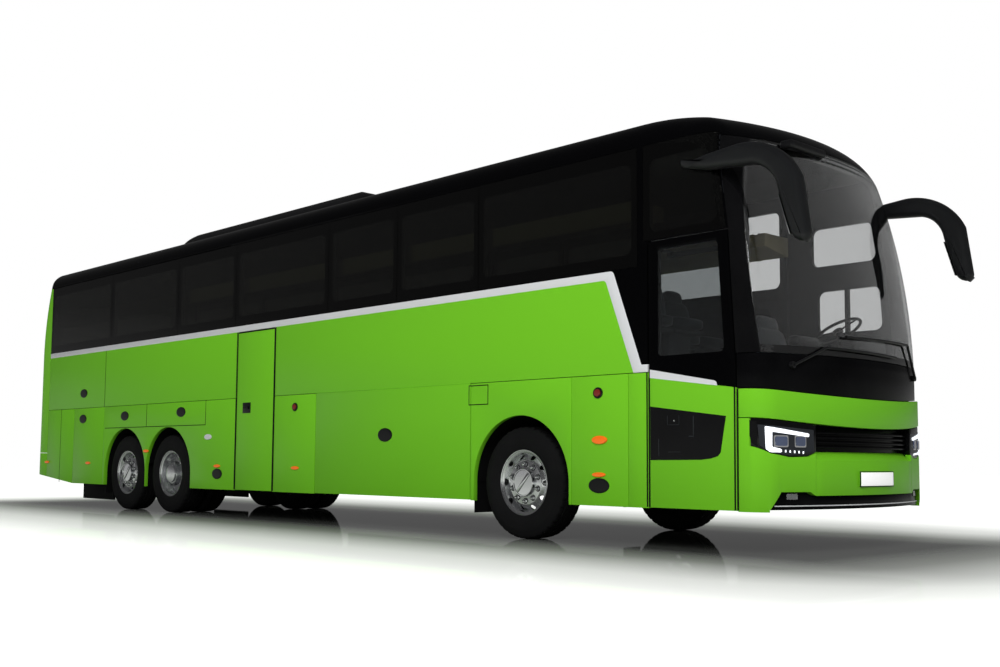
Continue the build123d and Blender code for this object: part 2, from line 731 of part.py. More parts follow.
def rear():
    """The tail: wall with pane, bumper, lamps and the opening of the engine lid."""
    x_in = X_REAR + DOME_R
    tail = SKIN & span(X_REAR, X_BAND_REAR - SEAM / 2, -HALF, HALF, SKIRT_Z, CANT_Z)
    tail = tail - tail_cut()
    x_seat = X_REAR + GLASS
    bumper_zone = span(X_REAR, X_BAND_REAR, -HALF, HALF, 0, REAR_BUMPER_TOP)
    lid_zone = span(X_REAR, x_in, -LID_HALF - SEAM, LID_HALF + SEAM, REAR_BUMPER_TOP, LID_TOP + SEAM)
    lamp_zone = span(X_REAR, x_in, LAMP_IN - SEAM, LAMP_OUT + SEAM, LAMP_LOW - SEAM, LAMP_HIGH + SEAM)
    pane_width = 2 * REAR_PANE_HALF
    pane_height = REAR_PANE_HIGH - REAR_PANE_LOW
    place = Plane.YZ.offset(X_REAR) * Pos(0, (REAR_PANE_LOW + REAR_PANE_HIGH) / 2)
    run = x_in - X_REAR
    pane_zone = extrude(place * RectangleRounded(pane_width, pane_height, REAR_PANE_R), amount=run)
    seat_zone = extrude(place * RectangleRounded(pane_width + 2 * SEAM, pane_height + 2 * SEAM, REAR_PANE_R),
                        amount=run)
    hole = extrude(place * RectangleRounded(pane_width - 2 * REAR_PANE_LAP, pane_height - 2 * REAR_PANE_LAP,
                                            REAR_PANE_R), amount=run)
    wall = tail - bumper_zone - lid_zone - (GLAZING & seat_zone) - hole
    for lamp in twin(lamp_zone & span(X_REAR, x_seat + WALL / 2, -HALF, HALF, 0, ROOF_Z)):
        wall = wall - lamp
    save("rear_wall", wall)
    save("rear_window", GLAZING & pane_zone)
    save("rear_bumper", tail & span(X_REAR, X_BAND_REAR, -HALF, HALF, 0, REAR_BUMPER_TOP - SEAM))
    lamp = span(X_REAR, x_seat + WALL / 2, LAMP_IN, LAMP_OUT, LAMP_LOW, LAMP_HIGH) & OUTER
    save("tail_lamps", *twin(lamp))
    x_lid = X_REAR + LID_RECESS
    lid = span(x_lid, x_lid + WALL, -LID_HALF, LID_HALF, REAR_BUMPER_TOP + SEAM, LID_TOP)
    hinge = across(x_lid, -LID_HALF, LID_TOP + HINGE_R - FIT, HINGE_R, 2 * LID_HALF)
    save("engine_lid", lid + hinge)


# Floors, luggage hold and frame

STEP_Y = 560.0
STEP_EDGE = 1210.0
STEP_ZS = [400.0, 620.0, 840.0]
STEP_YS = [905.0, 755.0]
MIDDLE_STEP_ZS = [400.0, 665.0, 930.0, 1195.0]
MIDDLE_STEP_YS = [905.0, 735.0, 565.0]
MIDDLE_STEP_Y = 395.0
DECK_REAR_RUN = 525.0
DECK_REAR_X = X_REAR + DECK_REAR_RUN
BULKHEAD_REAR_X = X_MIDDLE_END + SEAM
CROSS_W = 80.0
HOLD_GAP = 1400.0
TOW_W = 160.0
TOW_T = 40.0
TOW_R = 21.0
ENGINE_RUN = 225.0
ENGINE_L = 1450.0
ENGINE_X = [X_REAR + ENGINE_RUN, X_REAR + ENGINE_RUN + ENGINE_L]
ENGINE_Z = [540.0, 1240.0]
FLAP_W_MUD = 275.0
FLAP_T = 8.0
FLAP_GAP = 140.0
MUD_Z = [215.0, 520.0]
HOUSING_FRONT_Y = 600.0
HOUSING_REAR_Y = 560.0
HOUSING_WALL_Z = 800.0


def stairs(x0, x1, depths, heights, inner, top):
    """Treads and risers as one folded plate along X."""
    points, under = [(-STEP_EDGE, heights[0])], [(-STEP_EDGE, heights[0] - PLATE)]
    for depth, low, high in zip([*depths, inner], heights, [*heights[1:], top]):
        points += [(-depth, low), (-depth, high)]
        under += [(-depth + PLATE, low - PLATE), (-depth + PLATE, high - PLATE)]
    points.append((-inner + PLATE, top))
    return front_prism(polygon(points + under[::-1]), x0, x1)


def bearing(opening_end):
    """The foot bearing of a door column, on the bottom step."""
    return upright(opening_end - COLUMN_BACK, -COLUMN_Y, STEP_ZS[0], COLUMN_FOOT - FIT, BEARING_R)


def floors():
    """The saloon deck, the driver's platform and the two stairwells."""
    low = DECK_Z - DECK_T
    deck = INNER & span(X_REAR + WALL + LID_RECESS + FIT, X_PILLAR_PANEL, -LINER, LINER, low, DECK_Z)
    well = span(MIDDLE_DOOR_X, X_MIDDLE_END, -LINER, PLATE - MIDDLE_STEP_Y, low, DECK_Z)
    save("floor_deck", deck - well)
    low = PLATFORM_Z - PLATFORM_T
    plan = nose_block(WALL, low, PLATFORM_Z)
    ring = plan - nose_block(2 * SEAM + LAMP_DEPTH, low, PLATFORM_Z)
    for y in (-HALF, CENTRE_HALF):
        plan = plan - (ring & span(LAMP_END_X - SEAM, X_FACE, y, y + HALF - CENTRE_HALF, low, PLATFORM_Z))
    well = span(FRONT_DOOR_X, X_MODULE, -LINER, -STEP_Y, 0, ROOF_Z)
    riser = span(X_PILLAR_PANEL, X_PILLAR_PANEL + PLATE, -LINER, LINER, PLATFORM_Z, DECK_Z)
    steps = stairs(FRONT_DOOR_X, X_MODULE, STEP_YS, STEP_ZS, STEP_Y, PLATFORM_Z)
    middle = stairs(MIDDLE_DOOR_X, X_MIDDLE_END, MIDDLE_STEP_YS, MIDDLE_STEP_ZS, MIDDLE_STEP_Y, DECK_Z)
    save("entrance_floors", (plan - well) + riser + steps + bearing(X_MODULE), middle + bearing(X_MIDDLE_END))


def luggage_hold():
    """The hold right across the coach: floor and two bulkheads."""
    low = span(BULKHEAD_REAR_X, X_FLAP_END, -LINER, LINER, HOLD_Z, HOLD_Z + PLATE)
    top = DECK_Z - DECK_T
    walls = [span(x, x + PLATE, -LINER, LINER, HOLD_Z, top) for x in (BULKHEAD_REAR_X, X_FLAP_END - PLATE)]
    save("luggage_hold", low + walls[0] + walls[1])


def underframe():
    """Front and rear subframes: two rails each, tied by cross members that reach the side panels."""
    sections = [
        (X_REAR + WALL, BULKHEAD_REAR_X, [X_REAR + WALL + CROSS_W, ENGINE_X[1] + CROSS_W, X_DRIVE + HOLD_GAP]),
        (X_FLAP_END, X_FACE - FRONT_BEAM_D - WALL, [X_ARCH_FRONT_END + CROSS_W, X_MODULE - CROSS_W]),
    ]
    solids = []
    for x0, x1, crosses in sections:
        rails = [span(x0, x1, y - RAIL_W / 2, y + RAIL_W / 2, RAIL_Z, RAIL_Z + RAIL_H) for y in (-RAIL_Y, RAIL_Y)]
        frame = rails[0] + rails[1]
        for x in crosses:
            frame += span(x - CROSS_W / 2, x + CROSS_W / 2, -RAIL_Y, RAIL_Y, RAIL_Z, RAIL_Z + RAIL_H)
            reach = STEP_Y if x > FRONT_DOOR_X else LINER
            left = LINER
            if x - CROSS_W / 2 < X_REAR + EDGE_R:
                reach = left = LINER - EDGE_R + WALL
            frame += span(x - CROSS_W / 2, x + CROSS_W / 2, -reach, left, RAIL_Z, RAIL_Z + RAIL_W)
        solids.append(frame)
    lug_x = X_REAR + WALL + CROSS_W
    lug = span(lug_x - CROSS_W / 2, lug_x + CROSS_W / 2, -TOW_W / 2, TOW_W / 2, RAIL_Z - TOW_T, RAIL_Z)
    lug = lug - upright(lug_x, 0, RAIL_Z - TOW_T, RAIL_Z, TOW_R)
    cross_hole = upright(lug_x, 0, RAIL_Z, RAIL_Z + RAIL_H, TOW_R)
    solids[0] = (solids[0] - cross_hole) + lug
    save("underframe", *solids)


def wheel_housings():
    """Arched liners over the wheels, with the wall on their inner side."""
    solids = []
    for xs, y_in in (([X_FRONT], HOUSING_FRONT_Y), ([X_DRIVE, X_TAG], HOUSING_REAR_Y)):
        big = [across(x, -LINER, TYRE_R, HOUSING_R + HOUSING_T, LINER - y_in) for x in xs]
        small = [across(x, -LINER, TYRE_R, HOUSING_R, LINER - y_in - HOUSING_T) for x in xs]
        liner = big[0] + big[1:] if len(big) > 1 else big[0]
        for hole in small:
            liner = liner - hole
        reach = HOUSING_R + HOUSING_T
        above = span(min(xs) - reach, max(xs) + reach, -LINER, -y_in, TYRE_R, DECK_Z)
        low_wall = span(min(xs) - reach, max(xs) + reach, -y_in - HOUSING_T, -y_in, TYRE_R, HOUSING_WALL_Z)
        solids += twin((liner & above) - low_wall)
    save("wheel_housings", *solids)


def mudflaps():
    """Rubber flaps behind each wheel."""
    flaps = []
    for x in (X_FRONT, X_TAG):
        back = x - TYRE_R - FLAP_GAP
        flaps += twin(span(back, back + FLAP_T, -LINER, FLAP_W_MUD - LINER, *MUD_Z))
    save("mudflaps", *flaps)


def engine():
    """The engine and gearbox as one block between the rails."""
    inner = RAIL_Y - RAIL_W / 2
    save("engine", span(*ENGINE_X, -inner, inner, *ENGINE_Z))


# Axles, wheels and steering

KING_Y = 930.0
KING_R = 24.0
BOSS_R = 50.0
BOSS_H = 60.0
LUG_R = 45.0
LUG_GAP = 4.0
LUG_H = 36.0
WEB_REACH = 55.0
WEB_T = 20.0
SPINDLE_R = 40.0
SPINDLE_END = 1150.0
HUB_R = 118.0
HUB_START = 1015.0
HUB_END = 1196.0
CAP_R = 112.0
CAP_END = 1222.0
BEAM_HALF_W = 45.0
BEAM_LOW = 56.0
BEAM_T = 72.0
BAG_R = 105.0
BAG_FOOT_R = 90.0
TUBE_R = 80.0
TUBE_END = 840.0
BOWL_R = 205.0
DRIVE_SPINDLE_R = 60.0
DRIVE_HUB_R = 128.0
DRIVE_HUB_START = 846.0
TAG_HUB_START = 906.0
SPRING_REACH = 520.0
SPRING_AT = 400.0
SPRING_TOP = 500.0
HOLE_R = 25.0
HOLE_PCD_R = 236.0
HOLES = 10
WHEEL_DISC_T = 12.0
DISC_OUT = 104.0
DISC_IN = 40.0
BOLT_FACE_R = 208.0


def tyre(y):
    """One tyre at a wheel plane, from half its section."""
    half, tread, bead = TYRE_W / 2, TREAD_W / 2, RIM_W / 2
    face = polygon([
        (RIM_R, -bead), (BULGE_R, -half), (TYRE_R, -tread), (TYRE_R, tread), (BULGE_R, half), (RIM_R, bead),
    ])
    return Pos(0, y, TYRE_R) * revolve(face, Axis.Y, 360)


def rim(y, outward, side):
    """A rim at a wheel plane: rolled barrel and dished disc with hand holes."""
    half = RIM_W / 2
    barrel = polygon([
        (RIM_R, -half), (RIM_R, -half + RIM_T), (RIM_BARREL_R + RIM_T, -half + FLANGE_W + RIM_T),
        (RIM_BARREL_R + RIM_T, half - FLANGE_W - RIM_T), (RIM_R, half - RIM_T), (RIM_R, half),
        (RIM_BARREL_R, half - FLANGE_W), (RIM_BARREL_R, -half + FLANGE_W),
    ])
    lean = 1 if outward else -1
    deep, shallow = lean * DISC_OUT, lean * DISC_IN
    t = lean * WHEEL_DISC_T
    disc = polygon([
        (RIM_BARREL_R + RIM_T / 2, shallow), (RIM_BARREL_R + RIM_T / 2, shallow - t), (BOLT_FACE_R, deep - t),
        (SPINDLE_R * 2, deep - t), (SPINDLE_R * 2, deep), (BOLT_FACE_R, deep),
    ])
    wheel = revolve(barrel, Axis.Y, 360) + revolve(disc, Axis.Y, 360)
    hole = Pos(HOLE_PCD_R, 0, 0) * Rot(90, 0, 0) * Cylinder(HOLE_R, 2 * RIM_W)
    wheel = wheel - [Rot(0, 360 * k / HOLES, 0) * hole for k in range(HOLES)]
    return Pos(0, y, TYRE_R) * (wheel if side > 0 else Rot(0, 0, 180) * wheel)


def wheels():
    """Tyres and rims of all three axles, at each side, with their hubs."""
    for side, word in ((-1, "right"), (1, "left")):
        for x, place, spindle, hub_r, start in (
            (X_FRONT, "front", SPINDLE_R, HUB_R, HUB_START),
            (X_TAG, "tag", DRIVE_SPINDLE_R, HUB_R, TAG_HUB_START),
        ):
            y = side * WHEEL_Y
            save(f"tyre_{place}_{word}", Pos(x, 0, 0) * tyre(y))
            hub = hub_form(side, spindle, hub_r, start)
            save(f"rim_{place}_{word}", Pos(x, 0, 0) * (rim(y, True, side) + hub))
        y_in = side * (WHEEL_Y - TWIN_PITCH)
        outer_y = side * WHEEL_Y
        tyres = [Pos(X_DRIVE, 0, 0) * tyre(y) for y in (outer_y, y_in)]
        save(f"tyres_drive_{word}", *tyres)
        hub = hub_form(side, DRIVE_SPINDLE_R, DRIVE_HUB_R, DRIVE_HUB_START)
        pair = rim(outer_y, False, side) + rim(y_in, True, side) + hub
        save(f"rims_drive_{word}", Pos(X_DRIVE, 0, 0) * pair)


def hub_form(side, spindle, radius, start):
    """A hub that runs on its spindle, closed by a cap at its outer end."""
    barrel = across(0, side * start, TYRE_R, radius, side * (HUB_END - start))
    cap = across(0, side * HUB_END, TYRE_R, CAP_R, side * (CAP_END - HUB_END))
    bore = across(0, side * (start - SEAM), TYRE_R, spindle + RUNNING, side * (SPINDLE_END + SEAM - start + SEAM))
    return barrel + cap - bore


def front_axle():
    """The dropped beam with its kingpins, and a knuckle with a spindle at each end."""
    beam = span(X_FRONT - BEAM_HALF_W, X_FRONT + BEAM_HALF_W, -KING_Y, KING_Y, TYRE_R - BEAM_LOW,
                TYRE_R - BEAM_LOW + BEAM_T)
    pads = span(X_FRONT - BAG_R, X_FRONT + BAG_R, -RAIL_Y - RAIL_W, -RAIL_Y + RAIL_W, TYRE_R - BEAM_LOW,
                TYRE_R - BEAM_LOW + BEAM_T)
    boss = upright(X_FRONT, -KING_Y, TYRE_R - BOSS_H, TYRE_R + BOSS_H, BOSS_R)
    reach = BOSS_H + LUG_GAP + LUG_H
    pin = upright(X_FRONT, -KING_Y, TYRE_R - reach, TYRE_R + reach, KING_R)
    for piece in (pads, boss, pin):
        beam += piece
        beam += mirror(piece, about=Plane.XZ)
    save("front_axle", beam)
    for side, word in ((-1, "right"), (1, "left")):
        knuckle = None
        for low in (TYRE_R + BOSS_H + LUG_GAP, TYRE_R - reach):
            lug = upright(X_FRONT, -KING_Y, low, low + LUG_H, LUG_R)
            arm = span(X_FRONT - LUG_R, X_FRONT + LUG_R, -KING_Y - WEB_REACH - WEB_T, -KING_Y, low, low + LUG_H)
            piece = lug + arm - upright(X_FRONT, -KING_Y, low, low + LUG_H, KING_R + RUNNING)
            knuckle = piece if knuckle is None else knuckle + piece
        web = span(X_FRONT - LUG_R, X_FRONT + LUG_R, -KING_Y - WEB_REACH - WEB_T, -KING_Y - WEB_REACH,
                   TYRE_R - reach, TYRE_R + reach)
        spindle = across(X_FRONT, -KING_Y - WEB_REACH, TYRE_R, SPINDLE_R, KING_Y + WEB_REACH - SPINDLE_END)
        save(f"knuckle_{word}", on_side(knuckle + web + spindle, side))


def rear_axles():
    """The driven axle with its bowl, and the tag axle, each on two spring beams."""
    solids = []
    for x, bowl in ((X_DRIVE, True), (X_TAG, False)):
        axle = across(x, -TUBE_END, TYRE_R, TUBE_R, 2 * TUBE_END)
        axle += across(x, -SPINDLE_END, TYRE_R, DRIVE_SPINDLE_R, 2 * SPINDLE_END)
        if bowl:
            axle += across(x, -TUBE_R, TYRE_R, BOWL_R, 2 * TUBE_R)
        for y in (-RAIL_Y, RAIL_Y):
            axle += span(x - SPRING_REACH, x + SPRING_REACH, y - BEAM_HALF_W, y + BEAM_HALF_W,
                         SPRING_TOP - BEAM_HALF_W, SPRING_TOP)
        solids.append(axle)
    save("rear_axles", *solids)


def air_springs():
    """Bellows between the axles and the rails."""
    bags = []
    places = [(X_FRONT, TYRE_R - BEAM_LOW + BEAM_T)]
    places += [(x + s * SPRING_AT, SPRING_TOP) for x in (X_DRIVE, X_TAG) for s in (-1, 1)]
    for x, low in places:
        middle = (low + RAIL_Z) / 2
        face = polygon([(0, low), (BAG_FOOT_R, low), (BAG_R, middle), (BAG_FOOT_R, RAIL_Z), (0, RAIL_Z)])
        bags += twin(Pos(x, -RAIL_Y, 0) * revolve(Plane.XZ * face, Axis.Z, 360))
    save("air_springs", *bags)


# Doors and flaps

COLUMN_BACK = 160.0
COLUMN_Y = 1120.0
COLUMN_R = 22.0
ARM_LENGTH = 580.0
MIDDLE_ARM_LENGTH = 560.0
ARM_T = 36.0
EYE_R = 28.0
PIN_R = 12.0
LUG_T = 12.0
ARM_ZS = [560.0, 2405.0]
MIDDLE_ARM_ZS = [560.0, 2090.0]
DOOR_PANE = [1560.0, 2440.0]
DOOR_FRAME = 95.0
DOOR_PANE_R = 40.0
COLUMN_FOOT = 405.0
DOOR_FOOT = SKIRT_Z + SEAM
BEARING_R = 34.0
LEAF = 40.0


def door_arm(column_x, length, heights, top):
    """A column on its foot bearing with two arms that reach back to the door's eyes."""
    column = upright(column_x, -COLUMN_Y, COLUMN_FOOT, top, COLUMN_R)
    for z in heights:
        bar = span(column_x - length, column_x, -COLUMN_Y - ARM_T / 2, -COLUMN_Y + ARM_T / 2, z - ARM_T / 2,
                   z + ARM_T / 2)
        eye = upright(column_x - length, -COLUMN_Y, z - ARM_T / 2, z + ARM_T / 2, EYE_R)
        hole = upright(column_x - length, -COLUMN_Y, z - ARM_T, z + ARM_T, PIN_R + RUNNING)
        column = column + (bar + eye - hole)
    return column


def door_lugs(eye_x, heights):
    """The door's own brackets, each with the pin that sits in an arm's eye."""
    lugs = []
    for z in heights:
        low = z + ARM_T / 2 + FIT
        lug = span(eye_x - EYE_R, eye_x + EYE_R, -LINER, -COLUMN_Y, low, low + LUG_T)
        end = upright(eye_x, -COLUMN_Y, low, low + LUG_T, EYE_R)
        pin = upright(eye_x, -COLUMN_Y, z - ARM_T / 2, low + LUG_T, PIN_R)
        lugs.append(lug + end + pin)
    return lugs


def front_door_face(gap):
    """The front door's outline, its front edge leaning back along the pillar."""
    return polygon([
        (FRONT_DOOR_X + gap, DOOR_FOOT),
        (FRONT_DOOR_X + gap, FRONT_DOOR_TOP - gap + SEAM),
        (edge_x(FRONT_DOOR_TOP) - gap, FRONT_DOOR_TOP - gap + SEAM),
        (edge_x(BELT_Z) - gap, BELT_Z),
        (edge_x(BELT_Z) - gap, DOOR_FOOT),
    ])


def front_door():
    """The plug door with its pane, and the column with two arms that swings it out."""
    leaf = SKIN & side_cut(front_door_face(DOOR_GAP), -1)
    low, high = DOOR_PANE
    left = FRONT_DOOR_X + DOOR_GAP + DOOR_FRAME
    pane_points = [
        (left, low), (edge_x(low) - DOOR_GAP - DOOR_FRAME, low),
        (edge_x(high) - DOOR_GAP - DOOR_FRAME, high), (left, high),
    ]
    zone = side_cut(polygon(pane_points, DOOR_PANE_R), -1)
    leaf = leaf - zone
    column_x = X_MODULE - COLUMN_BACK
    for lug in door_lugs(column_x - ARM_LENGTH, ARM_ZS):
        leaf = leaf + lug
    save("front_door", leaf)
    save("front_door_glass", GLAZING & zone)
    save("front_door_arm", door_arm(column_x, ARM_LENGTH, ARM_ZS, ARM_ZS[1] + WALL))


def middle_door():
    """The plain plug door amidships, with the same mechanism."""
    leaf = span(MIDDLE_DOOR_X + DOOR_GAP, X_MIDDLE_END - DOOR_GAP, -HALF, -LINER, DOOR_FOOT,
                MIDDLE_DOOR_TOP - DOOR_GAP + SEAM)
    column_x = X_MIDDLE_END - COLUMN_BACK
    for lug in door_lugs(column_x - MIDDLE_ARM_LENGTH, MIDDLE_ARM_ZS):
        leaf = leaf + lug
    save("middle_door", leaf)
    save("middle_door_arm", door_arm(column_x, MIDDLE_ARM_LENGTH, MIDDLE_ARM_ZS, MIDDLE_ARM_ZS[1] + WALL))


def luggage_flaps():
    """The large flaps of the hold, hung along their top edge."""
    for side, word in ((-1, "right"), (1, "left")):
        flap = span(X_HOLD + SEAM, X_FLAP_END - SEAM, -HALF, LEAF - HALF, DOOR_FOOT, BELT_Z - SEAM / 2)
        hinge = Pos((X_HOLD + X_FLAP_END) / 2, -HALF, BELT_Z - FIT) * Rot(0, 90, 0)
        barrel = hinge * Cylinder(HINGE_R, X_FLAP_END - X_HOLD - 2 * SEAM)
        save(f"luggage_flap_{word}", on_side(flap + barrel, side))


# Cab, seats and racks

DASH_BACK = 525.0
DASH_REAR_X = X_FACE - DASH_BACK
DASH_TOP = 1650.0
DASH_EDGE = 130.0
SEAT_PITCH = 800.0
SEAT_KNEE = 46.0
SEAT_FIRST_X = X_PILLAR_PANEL + SEAT_KNEE
SEAT_ROWS = int((SEAT_FIRST_X - DECK_REAR_X) / SEAT_PITCH)
SEAT_IN = 300.0
SEAT_OUT = 1170.0
DRIVER_SEAT_BACK = 915.0
DRIVER_SEAT_X = X_FACE - DRIVER_SEAT_BACK
DRIVER_SEAT_Y = 600.0
DRIVER_SEAT_HALF = 250.0
STEER_BACK = 665.0
WHEEL_X = X_FACE - STEER_BACK
STEER_Z = 1870.0
STEER_R = 225.0
STEER_TUBE = 14.0
STEER_BOSS_R = 45.0
RING_SIDES = 8
STEER_LEAN = 62.0
SPOKE_R = 16.0
COLUMN_TUBE_R = 30.0
RACK_IN = 780.0
RACK_OUT = 1185.0
RACK_Z = 2720.0
RACK_H = 190.0
RACK_T = 60.0


# The seat's side outline: shares of its length and height, from the pedestal's foot round the back
SEAT_L = 590.0
SEAT_H = 1040.0
SEAT_SHARES = [(-0.10, 0.0), (-0.56, 0.0), (-0.66, 0.365), (-0.88, 0.96), (-0.83, 1.0), (-0.73, 0.99),
               (-0.51, 0.48), (0.07, 0.5), (0.12, 0.45), (0.07, 0.385), (-0.10, 0.365)]


def seat_outline(x, z):
    """A coach seat from the side: pedestal, cushion and leaning back."""
    return polygon([(x + a * SEAT_L, z + b * SEAT_H) for a, b in SEAT_SHARES])


def seats():
    """Pairs of seats each side of the aisle, and the driver's seat."""
    pairs = []
    back, front = (SEAT_L * end(a for a, b in SEAT_SHARES) for end in (min, max))
    for row in range(SEAT_ROWS):
        x = SEAT_FIRST_X - row * SEAT_PITCH
        pair = side_prism(seat_outline(x, DECK_Z), -SEAT_OUT, -SEAT_IN)
        if row > 0:
            pairs.append(mirror(pair, about=Plane.XZ))
        if x + back > X_MIDDLE_END or x + front < MIDDLE_DOOR_X - PLATE:
            pairs.append(pair)
    low, high = DRIVER_SEAT_Y - DRIVER_SEAT_HALF, DRIVER_SEAT_Y + DRIVER_SEAT_HALF
    save("seats", *pairs, side_prism(seat_outline(DRIVER_SEAT_X, PLATFORM_Z), low, high))


def dashboard():
    """The dash across the cab, up to the scuttle and the windscreen's frame."""
    face = polygon([
        (DASH_REAR_X + DASH_EDGE, PLATFORM_Z), (DASH_REAR_X, PLATFORM_Z + DASH_EDGE * 2),
        (DASH_REAR_X, DASH_TOP - DASH_EDGE), (DASH_REAR_X + DASH_EDGE, DASH_TOP),
        (X_FACE, DASH_TOP - DASH_EDGE / 2), (X_FACE, PLATFORM_Z),
    ])
    block = side_prism(face, -STEP_Y, HALF)
    column = rod(steering_point(SPOKE_R + FIT), steering_point(2 * STEER_R), COLUMN_TUBE_R)
    save("dashboard", (INNER & block) + column)


def steering_point(distance):
    """A point on the steering column's line, below the wheel's centre by a distance."""
    lean = math.radians(STEER_LEAN)
    return (WHEEL_X + distance * math.cos(lean), DRIVER_SEAT_Y, STEER_Z - distance * math.sin(lean))


def steering_wheel():
    """A rim, three spokes and a boss on the column's end."""
    place = Plane(origin=(WHEEL_X, DRIVER_SEAT_Y, STEER_Z),
                  z_dir=Vector(-math.cos(math.radians(STEER_LEAN)), 0, math.sin(math.radians(STEER_LEAN))))
    tube = Plane.XZ * Pos(STEER_R - STEER_TUBE, 0) * RegularPolygon(STEER_TUBE, RING_SIDES)
    ring = revolve(tube, Axis.Z, 360)
    boss = Cylinder(STEER_BOSS_R, 2 * SPOKE_R)
    for angle in (0, 120, 240):
        boss += Rot(0, 0, angle) * Pos((STEER_R - STEER_TUBE) / 2, 0, 0) * Rot(0, 90, 0) * Cylinder(
            SPOKE_R / 2, STEER_R - STEER_TUBE)
    save("steering_wheel", place.location * (ring + boss))


def luggage_racks():
    """Overhead racks along both walls."""
    face = polygon([(-RACK_OUT, RACK_Z + RACK_H), (-RACK_OUT, RACK_Z), (-RACK_OUT + RACK_T, RACK_Z),
                    (-RACK_IN, RACK_Z + RACK_T), (-RACK_IN, RACK_Z + RACK_H)])
    save("luggage_racks", *twin(front_prism(face, DECK_REAR_X, X_PILLAR_PANEL)))


# Mirrors and wipers

MIRROR_ROOT_BACK = 921.0
MIRROR_ROOT_X = X_FACE - MIRROR_ROOT_BACK
MIRROR_TOP_Z = 3138.0
MIRROR_FOOT_Z = 2305.0
MIRROR_ARM_Y = 1400.0
MIRROR_TIP_X = X_FACE + MIRROR_REACH
# The mirror's side outline: shares of its length and of its height from the foot
MIRROR_FOOT_SHARES = [(1.0, 0.042), (0.966, 0.0), (0.880, 0.044)]
MIRROR_INNER_SHARES = [(0.782, 0.498), (0.718, 0.684), (0.594, 0.780)]
MIRROR_ROOT_SHARES = [(0.227, 0.822), (0.031, 0.888), (0.0, 0.909), (0.227, 0.970)]
MIRROR_OUTER_SHARES = [(0.449, 1.0), (0.799, 0.858), (0.944, 0.594)]
WIPER_R = 11.0
WIPER_OUT = 26.0
WIPER_BOSS_R = 26.0
WIPER_PIVOT_Z = 1450.0
WIPER_RUNS = 4
# Pivot across, then the arm's end and the blade's tip, each across and up
WIPER_PLACES = [(-960.0, -620.0, 1600.0, 420.0, 1585.0), (1010.0, 760.0, 1720.0, -380.0, 1700.0)]


def mirrors():
    """Long arms that reach ahead of the coach and hang down as mirror heads."""
    length, height = MIRROR_TIP_X - MIRROR_ROOT_X, MIRROR_TOP_Z - MIRROR_FOOT_Z

    def places(shares):
        return [(MIRROR_ROOT_X + a * length, MIRROR_FOOT_Z + b * height) for a, b in shares]

    foot, root = places(MIRROR_FOOT_SHARES), places(MIRROR_ROOT_SHARES)
    inner, outer = places(MIRROR_INNER_SHARES), places(MIRROR_OUTER_SHARES)
    outline = make_face([
        Polyline(*foot, inner[0]),
        ThreePointArc(*inner),
        Polyline(inner[-1], *root, outer[0]),
        ThreePointArc(*outer),
        Line(outer[-1], foot[0]),
    ])
    save("mirrors", *twin(side_prism(outline, -MIRROR_ARM_Y, -HALF)))


def screen_point(y, z, out):
    """A point in front of the skin at a place across and a height, out from it by a distance."""
    near = Pos(X_AXIS, y, z) * Rot(0, 90, 0) * Cylinder(FIT, LENGTH)
    hit = (near & OUTER).bounding_box().max.X
    return (hit + out, y, z)


def wipers():
    """Two arms from the scuttle with their long blades, each as a chain of straight rods."""
    solids = []
    for pivot_y, turn_y, turn_z, tip_y, tip_z in WIPER_PLACES:
        pivot = screen_point(pivot_y, WIPER_PIVOT_Z, 0.0)
        knee = screen_point(turn_y, turn_z, WIPER_OUT)
        boss = rod((pivot[0] - WALL, pivot_y, WIPER_PIVOT_Z), (pivot[0] + WIPER_OUT, pivot_y, WIPER_PIVOT_Z),
                   WIPER_BOSS_R) - OUTER
        wiper = boss + rod((pivot[0] + WIPER_OUT, pivot_y, WIPER_PIVOT_Z), knee, WIPER_R)
        start = knee
        for k in range(1, WIPER_RUNS + 1):
            share = k / WIPER_RUNS
            end = screen_point(turn_y + share * (tip_y - turn_y), turn_z + share * (tip_z - turn_z), WIPER_OUT)
            wiper = wiper + rod(start, end, WIPER_R)
            start = end
        solids.append(wiper)
    save("wipers", *solids)


def main():
    skirt_panels()
    side_panels()
    waist_trim()
    band_and_glass()
    pillars()
    roof()
    ac_unit()
    roof_hatches()
    front_band()
    headlamps()
    front_bumper()
    front_trim()
    front_frame()
    windscreen()
    rear()
    floors()
    luggage_hold()
    underframe()
    wheel_housings()
    mudflaps()
    engine()
    wheels()
    front_axle()
    rear_axles()
    air_springs()
    front_door()
    middle_door()
    luggage_flaps()
    seats()
    dashboard()
    steering_wheel()
    luggage_racks()
    mirrors()
    wipers()


main()
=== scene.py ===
import bpy
import bmesh
import json
import math
from mathutils import Matrix, Vector

